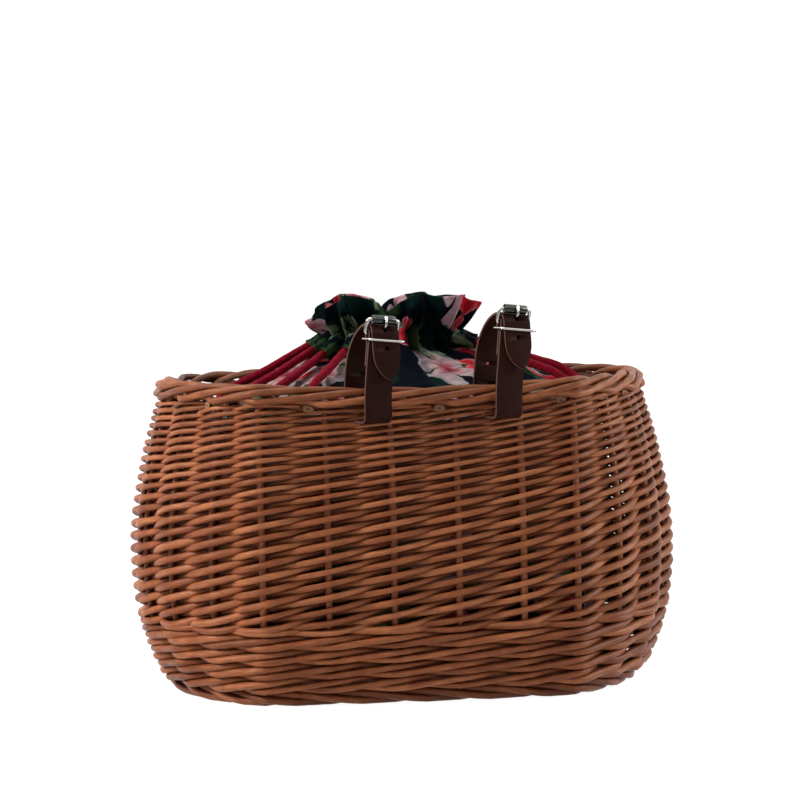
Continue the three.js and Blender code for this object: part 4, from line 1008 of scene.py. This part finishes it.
def base_outline():
    place = np.arange(0, STAKES, 0.5)
    along = along_wall(place, FOOT_CENTRE)
    out = np.stack([along[:, 1], -along[:, 0]], axis=-1)
    return plan_point(place, FOOT_CENTRE) - out * (FOOT_RADIUS + BASE_EDGE_GAP)


def crossings(line, x):
    """Where a closed plan line crosses x."""
    after = np.roll(line, -1, axis=0)
    a, b = line[:, 0], after[:, 0]
    hit = (a - x) * (b - x) < 0
    share = (x - a[hit]) / (b[hit] - a[hit])
    return np.sort(line[hit, 1] + share * (after[hit, 1] - line[hit, 1]))


def add_base():
    edge = base_outline()
    sticks = [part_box(f"base_stick_{i + 1}") for i in range(BASE_STICKS)]
    piece = Piece("willow_base_weave")
    count = int(2 * HALF_WIDTHS[0] / BASE_ROD_PITCH)
    for i in range(count):
        x = (i - (count - 1) / 2) * BASE_ROD_PITCH
        reach = crossings(edge, x)
        if len(reach) < 2:
            continue
        y = np.linspace(reach[0], reach[-1], 40)
        # A rod humps over every other stick, and its neighbour over the ones between
        hump = sum((1 if (k + i) % 2 else -1) * np.exp(-((y - (low.y + high.y) / 2) / HUMP_REACH) ** 2)
                   for k, (low, high) in enumerate(sticks))
        z = BASE_BOTTOM + BASE_THICKNESS / 2 + hump * HUMP_HEIGHT
        points = np.column_stack([np.full(len(y), x), y, z])
        points, radii = lively(points, np.full(len(y), BASE_ROD_RADIUS), "base rod")
        piece.rod(points, radii, UP, SIDES["base rod"], rng.uniform(0.5, 1))
    piece.build_willow("base_weave")
    for i, (low, high) in enumerate(sticks):
        middle = (low + high) / 2
        points = np.linspace((low.x, middle.y, middle.z), (high.x, middle.y, middle.z), BASE_STEPS)
        stick = Piece(f"willow_base_stick_{i + 1}")
        points, radii = lively(points, np.full(BASE_STEPS, BASE_STICK_RADIUS * 0.97), "base stick")
        stick.rod(points, radii, UP, SIDES["base stick"], rng.uniform(0.5, 0.95))
        stick.build_willow(f"base_stick_{i + 1}")


add_base()


# Straps and buckles

FOLD_START, FOLD_EASE, FOLD_END = 0.007, 0.0045, 0.004
CROWN_REACH = 0.036
CROWN_EASES = (0.014, 0.013)
STRAP_CORNER = 0.55 * MM
STRAP_CORNER_STEPS = 4
PRONG_SLOT_WIDTH = 0.0052
BILLET_HOLE_DROP = 0.009
INNER_HOLE_DROPS = (0.038, 0.052, 0.064)
PRONG_HOLE_TURN = math.radians(7)
WIRE_SIDES = 14
ROLLER_SIDES = 36


def arc(centre, radius, start, end, steps):
    angles = np.linspace(start, end, steps)
    return np.column_stack([centre[0] + radius * np.cos(angles), centre[1] + radius * np.sin(angles)])


def bezier(a, b, c, d, steps):
    t = np.linspace(0, 1, steps)[:, None]
    a, b, c, d = (np.asarray(p, float) for p in (a, b, c, d))
    return a * (1 - t) ** 3 + 3 * b * t * (1 - t) ** 2 + 3 * c * t ** 2 * (1 - t) + d * t ** 3


def strap_line(buckle):
    """The strap's centre line from the folded chape to the hanging tip, as (inward, up)."""
    heel, angle, radius = buckle.heel, buckle.frame_angle, buckle.billet_radius
    chape = FRONT_LEG + STRAP_THICKNESS + FIT
    fold = heel[0] + FOLD_RADIUS
    bend = STRAP_BEND_RADIUS
    crown = heel[1] + HEEL_DROP
    meet = heel + radius * np.array([math.cos(angle), math.sin(angle)])
    back = np.array([math.sin(angle), -math.cos(angle)])
    parts = [
        np.linspace((chape, heel[1] - CHAPE_LENGTH), (chape, heel[1] - FOLD_START), 10),
        bezier((chape, heel[1] - FOLD_START), (chape, heel[1] - FOLD_EASE), (fold, heel[1] - FOLD_END),
               (fold, heel[1]), 8),
        arc(heel, FOLD_RADIUS, 0, math.pi, 14),
        np.linspace((FRONT_LEG, heel[1]), (FRONT_LEG, bend), 36),
        arc((FRONT_LEG + bend, bend), bend, math.pi, 1.5 * math.pi, 10),
        np.linspace((FRONT_LEG + bend, 0), (INNER_LEG - bend, 0), 12),
        arc((INNER_LEG - bend, bend), bend, -math.pi / 2, 0, 10),
        np.linspace((INNER_LEG, bend), (INNER_LEG, crown - CROWN_REACH), 20),
        bezier((INNER_LEG, crown - CROWN_REACH), (INNER_LEG, crown - CROWN_EASES[0]),
               meet + CROWN_EASES[1] * back, meet, 24),
        arc(heel, radius, angle, math.pi, 12),
        np.linspace((heel[0] - radius, heel[1]), (heel[0] - radius, heel[1] - STRAP_TIP_DROP), 40),
    ]
    line = np.vstack(parts)
    keep = np.concatenate([[True], np.linalg.norm(np.diff(line, axis=0), axis=1) > 1e-6])
    return line[keep]


def tip_half_width(distance):
    """Half the strap's width at a distance from its pointed tip."""
    from_full = np.clip(1 - distance / STRAP_TIP_LENGTH, 0, 1)
    return STRAP_WIDTH / 2 * (1 - from_full ** 2) ** 0.62


def billet_swing(buckle, from_tip):
    """How far past the roller the strap lies aside of the buckle's middle, and its lean there."""
    length = STRAP_TIP_DROP + buckle.billet_radius * (math.pi - buckle.frame_angle)
    share = np.clip(1 - from_tip / length, 0, 1)
    return TIP_SWING * share ** 1.5, np.arctan(1.5 * TIP_SWING / length * share ** 0.5)


def strap_rings(buckle):
    line = strap_line(buckle)
    along = lengths_along(line)
    swing, lean = billet_swing(buckle, along[-1] - along)
    # Below the keeper's slide the tip stands off the leg behind it
    free = STRAP_TIP_DROP - KEEPER_DROP - KEEPER_SLIDE - 0.001
    line[:, 0] -= TIP_FORWARD * np.clip(1 - (along[-1] - along) / free, 0, 1) ** 2
    tangent = tangents(line)
    normal = np.column_stack([-tangent[:, 1], tangent[:, 0]])
    half = tip_half_width(along[-1] - along)
    half[-1] = 0.15 * MM
    rings = []
    # Face, rounded edge, back, rounded edge
    for quarter, (sign_x, sign_n) in enumerate(((1, 1), (-1, 1), (-1, -1), (1, -1))):
        angles = np.linspace(0, math.pi / 2, STRAP_CORNER_STEPS)
        for angle in angles[::-1] if quarter % 2 == 0 else angles:
            width = np.maximum(half - STRAP_CORNER, 0) + np.minimum(STRAP_CORNER, half) * math.sin(angle)
            depth = sign_n * (STRAP_THICKNESS / 2 - STRAP_CORNER + STRAP_CORNER * math.cos(angle))
            across = sign_x * width
            place = line + normal * depth - tangent * (across * np.sin(lean))[:, None]
            rings.append(np.column_stack([swing + across * np.cos(lean), place]))
    return buckle.world(np.stack(rings, axis=1)), along


def drum(buckle, centre, axis, radius, length, stretch=1.0):
    """A closed drum to cut with, in the strap's frame."""
    angles = turns(20)
    axis = np.array(axis, float)
    side = np.array([1.0, 0, 0]) if abs(axis[0]) < 0.5 else np.array([0, 0, 1.0])
    other = np.cross(axis, side)
    ring = side * np.cos(angles)[:, None] * radius + other * np.sin(angles)[:, None] * radius * stretch
    centre = np.asarray(centre, float)
    return buckle.world(np.stack([centre - axis * length / 2 + ring, centre + axis * length / 2 + ring]))


def strap_cutters(buckle):
    """Drums for the slot round the prong's eye, the prong's hole, and the open holes of the two ends."""
    heel, radius = buckle.heel, buckle.billet_radius
    fold = drum(buckle, (0, *heel), (1, 0, 0), FOLD_RADIUS + STRAP_THICKNESS / 2 + 0.4 * MM, PRONG_SLOT_WIDTH)
    middle = PRONG_CROSSING + PRONG_HOLE_TURN
    out = np.array([0, math.cos(middle), math.sin(middle)])
    hole = PRONG_RADIUS + 2 * CLEARANCE
    stretch = (hole + radius * PRONG_SWING / 2) / hole
    drums = [fold, drum(buckle, np.array([0, *heel]) + radius * out, out, hole, 2 * STRAP_THICKNESS, stretch)]
    aside = float(billet_swing(buckle, STRAP_TIP_DROP - BILLET_HOLE_DROP)[0])
    drums.append(drum(buckle, (aside, heel[0] - radius, heel[1] - BILLET_HOLE_DROP), (0, 1, 0),
                      STRAP_HOLE_RADIUS, 1.3 * STRAP_THICKNESS))
    for drop in INNER_HOLE_DROPS:
        up = heel[1] + HEEL_DROP - drop
        drums.append(drum(buckle, (0, INNER_LEG, up), (0, 1, 0), STRAP_HOLE_RADIUS, 1.5 * STRAP_THICKNESS))
    return drums


def cut_away(piece, drums):
    mesh = bpy.data.meshes.new("cutters")
    faces, start = [], 0
    for ends in drums:
        sides = ends.shape[1]
        for j in range(sides):
            k = (j + 1) % sides
            faces.append((start + j, start + k, start + sides + k, start + sides + j))
        faces.append(tuple(range(start + sides - 1, start - 1, -1)))
        faces.append(tuple(range(start + sides, start + 2 * sides)))
        start += 2 * sides
    mesh.from_pydata(np.vstack([ends.reshape(-1, 3) for ends in drums]).tolist(), [], faces)
    tool = placed("cutters", mesh)
    change = piece.modifiers.new("holes", "BOOLEAN")
    change.operation = "DIFFERENCE"
    change.solver = "EXACT"
    change.use_self = True
    change.object = tool
    bpy.context.view_layer.update()
    evaluated = piece.evaluated_get(bpy.context.evaluated_depsgraph_get())
    result = bpy.data.meshes.new_from_object(evaluated)
    piece.modifiers.clear()
    piece.data = result
    bpy.data.objects.remove(tool)


def add_strap(buckle):
    rings, along = strap_rings(buckle)
    piece = Piece(f"leather_{buckle.side}_strap")
    piece.rings(rings, along=along, caps=(1, 1))
    # The faces of the strap are dyed, its edges and ends are raw
    sides = rings.shape[1]
    face = STRAP_CORNER_STEPS + 1
    for i in range((len(rings) - 1) * sides):
        piece.slots[i] = 0 if 0 < i % (sides // 2) <= face else 1
    strap = piece.build([LEATHER, LEATHER_EDGE], None)
    cut_away(strap, strap_cutters(buckle))
    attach(strap, "basket")
    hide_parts(f"{buckle.side}_strap")


def transported(tangent, first):
    """A direction square to the line, carried along it without twist."""
    out = [unit(first - tangent[0] * first.dot(tangent[0]))]
    for t in tangent[1:]:
        out.append(unit(out[-1] - t * out[-1].dot(t)))
    return np.array(out)


def add_wire(buckle, part, points, radii, node, body, loop=False):
    points = buckle.world(points)
    tangent = tangents(points, loop)
    out = transported(tangent, np.array([0.0, -1.0, 0.0]) if abs(tangent[0, 2]) > 0.7 else UP)
    piece = Piece(f"metal_{buckle.side}_{part}")
    piece.rod(points, radii, out, WIRE_SIDES, caps=(0, 0), loop=loop)
    piece.build([NICKEL], body, f"{buckle.side}_{node}", slot="nickel")


def rounded_loop(corners, radius, steps=6):
    """A closed line through corners in space, each one rounded off."""
    corners = np.asarray(corners, float)
    line = []
    for before, here, after in zip(np.roll(corners, 1, 0), corners, np.roll(corners, -1, 0)):
        reach = min(radius, 0.45 * np.linalg.norm(before - here), 0.45 * np.linalg.norm(after - here))
        a = here + unit(before - here) * reach
        b = here + unit(after - here) * reach
        t = np.linspace(0, 1, steps)[:, None]
        line.append(a * (1 - t) ** 2 + 2 * here * t * (1 - t) + b * t ** 2)
    return np.vstack(line)


def add_frame(buckle):
    heel, roller = buckle.heel, buckle.roller
    bar = STRAP_WIDTH / 2 + CLEARANCE
    reach = FRAME_HALF_WIDTH - WIRE_RADIUS
    # Half the frame: out from the middle, and the share of the way from the heel bar up to the roller's
    half = [(bar, 0), (reach - 0.3 * MM, 0.1), (reach, 0.3), (reach, 0.7), (reach - 0.4 * MM, 0.92), (bar, 1)]
    right = [(x, *(heel + (roller - heel) * share)) for x, share in half]
    left = [(-x, inward, up) for x, inward, up in reversed(right)]
    line = rounded_loop(right + left, 2 * MM)
    add_wire(buckle, "frame", line, WIRE_RADIUS, "buckle_frame", "basket", loop=True)


def add_roller(buckle):
    inner = WIRE_RADIUS + FIT
    half = ROLLER_LENGTH / 2
    lip, bevel = 0.3 * MM, 0.09 * MM
    profile = [(inner, -half), (ROLLER_RADIUS - lip, -half), (ROLLER_RADIUS - bevel, -half + bevel),
               (ROLLER_RADIUS, -half + lip)]
    profile += [(r, -x) for r, x in reversed(profile)]
    angles = turns(ROLLER_SIDES)
    inward, up = buckle.roller
    rings = [np.column_stack([np.full(ROLLER_SIDES, x), inward + r * np.cos(angles), up + r * np.sin(angles)])
             for r, x in profile]
    piece = Piece(f"metal_{buckle.side}_roller")
    piece.rings(buckle.world(np.stack(rings)), loop=True)
    piece.build([ROLLER_STEEL], f"{buckle.side}_roller_tube", f"{buckle.side}_roller", slot="roller_steel")


def add_prong(buckle):
    heel, roller, radius = buckle.heel, buckle.roller, buckle.billet_radius
    eye_radius = WIRE_RADIUS + CLEARANCE + PRONG_RADIUS
    rest = roller[0] - ROLLER_RADIUS - CLEARANCE - PRONG_RADIUS
    way = np.array([math.cos(PRONG_CROSSING), math.sin(PRONG_CROSSING)])
    eye = arc(heel, eye_radius, PRONG_CROSSING + 2 * math.pi * 0.97, PRONG_CROSSING + 0.35, 24)
    # Out of the eye, through the strap, and over the roller with its tip bent in
    arm = [(0, *(heel + (eye_radius - 0.2 * MM) * way)), (0, *(heel + radius * way)),
           (0, rest - 0.2 * MM, roller[1] - 3.2 * MM), (0, rest, roller[1]),
           (0, rest + 0.9 * MM, roller[1] + 2.7 * MM)]
    points = np.vstack([np.column_stack([np.zeros(len(eye)), eye]), spline(arm, 10)[1:]])
    radii = np.full(len(points), PRONG_RADIUS)
    radii[-3:] *= (0.93, 0.8, 0.5)
    add_wire(buckle, "prong", points, radii, "prong", f"{buckle.side}_prong_wire")


def add_keeper(buckle):
    heel, radius = buckle.heel, buckle.billet_radius
    z = heel[1] - KEEPER_DROP
    wire = KEEPER_WIRE_RADIUS
    half = STRAP_WIDTH / 2 + CLEARANCE + 0.3 * MM + wire
    front = heel[0] - radius - STRAP_THICKNESS / 2 - CLEARANCE - 0.2 * MM - wire
    back = heel[0] + FOLD_RADIUS + STRAP_THICKNESS / 2 + CLEARANCE + wire
    # The loop reaches further on the side that the billet swings to
    wide = half + KEEPER_SPREAD
    corners = [(wide, front, z), (wide, back, z), (-half, back, z), (-half, front, z)]
    add_wire(buckle, "keeper", rounded_loop(corners, 3 * MM, 8), wire, "keeper", f"{buckle.side}_keeper_loop",
             loop=True)


for strap_buckle in BUCKLES:
    for add_part in (add_strap, add_frame, add_roller, add_prong, add_keeper):
        add_part(strap_buckle)


# Liner bag, gathered shut at the neck, with a frill above it

LINER_COLUMNS = 480
LINER_FLOOR = 0.0137
LINER_HALF_WIDTH, LINER_HALF_DEPTH, LINER_MIDDLE_Y = 0.143, 0.084, 0.005
LINER_CORNER = 0.008
BAG_SQUARE = 2.5
NECK_HEIGHT = 0.243
NECK_HALF_WIDTH, NECK_HALF_DEPTH, NECK_X = 0.050, 0.020, -0.004
SLIT_HALF_WIDTH, SLIT_HALF_DEPTH = 0.030, 0.006
PLEATS = 23
CASING_HEIGHT = 0.008
FRILL_FLARE_X, FRILL_FLARE_Y = 0.011, 0.010
RUFFLE_TOP = 0.280
# Share of the way out from the neck, drop below the neck, and the sag of the left end
SHOULDER = np.array([(1, 56, 0), (0.92, 39, 2), (0.74, 27, 4), (0.5, 18.5, 3.5), (0.22, 8, 1.5), (0, 0, 0)])
# The frill's crest: places across it in millimetres, and shares of its height there
CREST = ((-65, -61, -54, -42, -28, -16, -11, -2, 8, 20, 30, 42, 52, 58),
         (0.3, 0.5, 0.78, 0.97, 0.96, 0.84, 0.58, 0.8, 0.95, 1.0, 0.9, 0.93, 0.9, 0.66))
CLOTH = 0.0009
# The bag was cut as a band round its girth, as tall as the wall, shoulder and frill, with an oval base
# How far round the print's map the bag goes
PRINT_WIDTH = 0.76


def fold_wave(angles, waves, seed, sharp=1.0):
    """Uneven folds round the neck: waves of several counts with seeded phases."""
    picks = np.random.default_rng(seed)
    total = np.zeros_like(angles)
    for count in waves:
        total += np.cos(count * angles + picks.uniform(0, 2 * math.pi)) * picks.uniform(0.5, 1)
    total /= np.abs(total).max()
    return np.sign(total) * np.abs(total) ** sharp


def liner_rows():
    """Rows of the cloth from the floor of the bag, up the shoulder, through the neck and over the frill."""
    angles = turns(LINER_COLUMNS)
    cos, sin = np.cos(angles), np.sin(angles)
    broad = fold_wave(angles, (5, 7, 9, 12), 11)
    fine = fold_wave(angles, (17, 23, 29, 37), 5, 0.8)
    frill = fold_wave(angles, (4, 6, 9), 3)
    # The neck is drawn in to pleats that reach from its outside to the narrow mouth between them
    uneven = PLEATS / 2 * angles + 0.7 * fold_wave(angles, (3, 4, 7), 8)
    pleat = np.abs(np.cos(uneven)) ** 1.3 * (0.8 + 0.2 * fold_wave(angles, (5, 8), 2))
    rows = []

    def row(z, half_x, half_y, x=0.0, y=LINER_MIDDLE_Y, square=2.0, folds=0.0, lift=0.0, drawn=0.0):
        """A ring of the bag. Its folds are in millimetres."""
        half_x = half_x - drawn * pleat * (NECK_HALF_WIDTH - SLIT_HALF_WIDTH)
        half_y = half_y - drawn * pleat * (NECK_HALF_DEPTH - SLIT_HALF_DEPTH)
        bulge_x, bulge_y = (np.sign(wave) * np.abs(wave) ** (2 / square) for wave in (cos, sin))
        ring = np.column_stack([x + half_x * bulge_x, y + half_y * bulge_y])
        out = unit(ring - np.array([x, y]))
        ring = ring + out * np.broadcast_to(folds * MM, LINER_COLUMNS)[:, None]
        rows.append(np.column_stack([ring, np.broadcast_to(z + lift, LINER_COLUMNS)]))

    width, depth, corner = LINER_HALF_WIDTH, LINER_HALF_DEPTH, LINER_CORNER
    for share in np.linspace(0.03, 0.92, 7):
        row(LINER_FLOOR, width * share, depth * share, square=BAG_SQUARE)
    for turn in np.linspace(0, math.pi / 2, 5):
        reach = corner * (1 - math.sin(turn))
        row(LINER_FLOOR + corner * (1 - math.cos(turn)), width - reach, depth - reach, square=BAG_SQUARE)
    for z in np.linspace(0.03, NECK_HEIGHT - 0.060, 16):
        row(z, width, depth, square=BAG_SQUARE, folds=fine * 0.5 + broad * 0.8)
    for share in np.concatenate([np.linspace(1, 0.94, 4), np.linspace(0.92, 0.03, 38)]):
        drop, sag = (np.interp(share, SHOULDER[::-1, 0], SHOULDER[::-1, k]) * MM for k in (1, 2))
        near = (1 - share) ** 1.5
        pleats = broad * 2.4 * (0.25 + near) + fine * 1.7 * (0.2 + near)
        row(NECK_HEIGHT - drop, NECK_HALF_WIDTH + (width - NECK_HALF_WIDTH) * share,
            NECK_HALF_DEPTH + (depth - NECK_HALF_DEPTH) * share, x=NECK_X * (1 - share),
            square=2 + (BAG_SQUARE - 2) * share, folds=broad * (1 + 3.2 * near) + fine * (0.7 + 2 * near),
            lift=sag * cos + (pleats - 1.5 * (0.3 + near)) * MM, drawn=(1 - share) ** 4)
    # The casing: a drawn-in band with the cord inside
    for share in np.linspace(0, 1, 7):
        swell = math.sin(math.pi * share) * 1.4 * MM - 0.6 * MM
        row(NECK_HEIGHT + 0.001 + 0.006 * share, NECK_HALF_WIDTH + swell, NECK_HALF_DEPTH + swell, x=NECK_X,
            folds=broad * 3.4 + fine * 1.7, drawn=1)
    # The frill: two tufts with a notch between them
    bottom = NECK_HEIGHT + CASING_HEIGHT
    crest = np.interp((NECK_X + (NECK_HALF_WIDTH + FRILL_FLARE_X) * cos) / MM, *CREST)
    for share in np.linspace(0.03, 1, 20):
        flare = math.sin(share * math.pi / 2)
        row(bottom, NECK_HALF_WIDTH + FRILL_FLARE_X * flare, NECK_HALF_DEPTH + FRILL_FLARE_Y * flare,
            x=NECK_X, folds=broad * (3.4 - 1.2 * share) + fine * (1.8 - share) + frill * 7.5 * share,
            lift=crest * (RUFFLE_TOP - bottom) * share, drawn=0.95 * (1 - share) ** 1.6 + 0.05)
    return np.stack(rows)


# The loose cloth's crumples, and its sharp ridges with hollows between them: how fine, and how deep in
# millimetres. Then the heights where the cloth comes loose, and where the hollows end and are full
CRUMPLES = ((30, 2.2), (75, 0.8))
HOLLOWS = ((38, 7), (85, 2.5))
LOOSE_FROM, LOOSE_ABOVE = 0.15, 0.22
HOLLOWS_END, HOLLOWS_FULL = NECK_HEIGHT, 0.225
MOST_LIFT = 0.6


def crumpled(rows):
    for point in rows.reshape(-1, 3):
        loose = float(smoothstep(LOOSE_FROM, LOOSE_ABOVE, point[2]))
        if loose > 0:
            place = Vector(point)
            push = sum(np.array(fractal.noise_vector(place * fine)) * deep for fine, deep in CRUMPLES)
            push[2] = min(push[2], MOST_LIFT)
            hollow = sum(abs(fractal.noise(place * fine)) * deep for fine, deep in HOLLOWS)
            push[2] -= hollow * float(smoothstep(HOLLOWS_END, HOLLOWS_FULL, point[2]))
            point += push * loose * MM
    return rows


# A sleeve's profile: along the cord from where it shows, and radius, in millimetres
SLEEVE = [(-14, 5.4), (-9, 5.0), (-4, 4.4), (-1, 4.0), (1, 4.0), (2.4, 4.5), (3, 4.3), (2.4, 3.5), (-1, 3.2)]
SLEEVE_SIDES = 28


def add_sleeves():
    """The gathered mouths of the casing, which the cords come out of."""
    angles = turns(SLEEVE_SIDES)
    pleats = 1 + 0.07 * np.cos(7 * angles)[:, None]
    piece = Piece("liner_sleeves")
    for route in CORD_ROUTES.values():
        for end, after in ((route[0], route[1]), (route[-1], route[-2])):
            end, way = np.array(end), unit(np.subtract(after, end))
            side = unit(np.cross(way, UP))
            over = np.cross(side, way)
            ring = (side * np.cos(angles)[:, None] + over * np.sin(angles)[:, None]) * pleats
            piece.rings(np.stack([end + way * at * MM + ring * radius * MM for at, radius in SLEEVE]),
                        around=np.linspace(0.2, 0.23, SLEEVE_SIDES + 1))
    return piece.build([PRINT], "liner", slot="liner_cloth")


def add_liner():
    rows = crumpled(liner_rows())
    steps = np.linalg.norm(np.diff(rows, axis=0), axis=2).mean(axis=1)
    piece = Piece("liner_cloth")
    piece.rings(rows, around=np.linspace(0, PRINT_WIDTH, LINER_COLUMNS + 1),
                along=np.concatenate([[0], np.cumsum(steps)]), caps=(0, None))
    cloth = piece.build([PRINT], "liner", "liner_bag", "liner_ruffle", slot="liner_cloth")
    thick = cloth.modifiers.new("thickness", "SOLIDIFY")
    thick.thickness = CLOTH
    add_sleeves()


add_liner()


# Floor, light and air

WHITE = (1, 1, 1)
FLOOR_HALF = 6.0
FLOOR_GLOW = 1.25
AIR_LIGHT, AIR_SEEN = 0.08, 1.04


def add_floor():
    mesh = bpy.data.meshes.new("floor")
    corners = [(x * FLOOR_HALF, y * FLOOR_HALF, 0) for x, y in ((-1, -1), (1, -1), (1, 1), (-1, 1))]
    mesh.from_pydata(corners, [], [(0, 1, 2, 3)])
    floor = placed("floor", mesh)
    look = Look("floor")
    ray = look.add("LightPath").outputs
    seen = look.calc("MAXIMUM", ray["Is Camera Ray"], ray["Is Glossy Ray"])
    glow = look.add("Emission", {"Color": WHITE, "Strength": FLOOR_GLOW})
    # Close to the basket the floor keeps the shadow, and further off it fades into the white background
    share = look.calc("MULTIPLY", seen, look.ramp(look.length(look.place()), (0.3, 0.75), (0.8, 1.0)))
    mixed = look.add("MixShader", {0: share, 1: look.surface.outputs[0], 2: glow.outputs[0]})
    look.feed(look.tree.nodes["Material Output"].inputs[0], mixed.outputs[0])
    mesh.materials.append(look.finish(colour=(0.86, 0.86, 0.86), rough=0.9, specular=0.0))


def add_world():
    world = bpy.data.worlds.new("air")
    bpy.context.scene.world = world
    world.use_nodes = True
    world.node_tree.nodes.clear()
    air = Graph(world.node_tree)
    ray = air.add("LightPath").outputs
    seen = air.calc("MAXIMUM", ray["Is Camera Ray"],
                    air.calc("MAXIMUM", ray["Is Glossy Ray"], ray["Is Transmission Ray"]))
    dim, bright = (air.add("Background", {"Color": WHITE, "Strength": strength})
                   for strength in (AIR_LIGHT, AIR_SEEN))
    mixed = air.add("MixShader", {0: seen, 1: dim.outputs[0], 2: bright.outputs[0]})
    air.feed(air.add("OutputWorld").inputs[0], mixed.outputs[0])


def add_light(name, place, aim, size, power, colour=WHITE):
    data = bpy.data.lights.new(name, "AREA")
    data.shape = "DISK"
    data.size = size
    data.energy = power
    data.color = colour
    light = placed(name, data)
    light.location = place
    light.rotation_euler = (Vector(aim) - Vector(place)).to_track_quat("-Z", "Y").to_euler()


add_floor()
add_world()
add_light("key", (-1.27, -0.37, 0.95), (0, 0, 0.12), 0.4, 18.8, (1, 0.9, 0.8))
add_light("side", (1.5, -0.22, 0.8), (0, 0, 0.12), 0.6, 13, (0.96, 0.98, 1))
add_light("front", (-0.3, -2.2, 1.5), (0, 0, 0.12), 0.8, 2.2)
add_light("top", (-0.2, 0.4, 1.8), (0, 0, 0.1), 0.9, 7)

bpy.context.scene.view_settings.view_transform = "Standard"
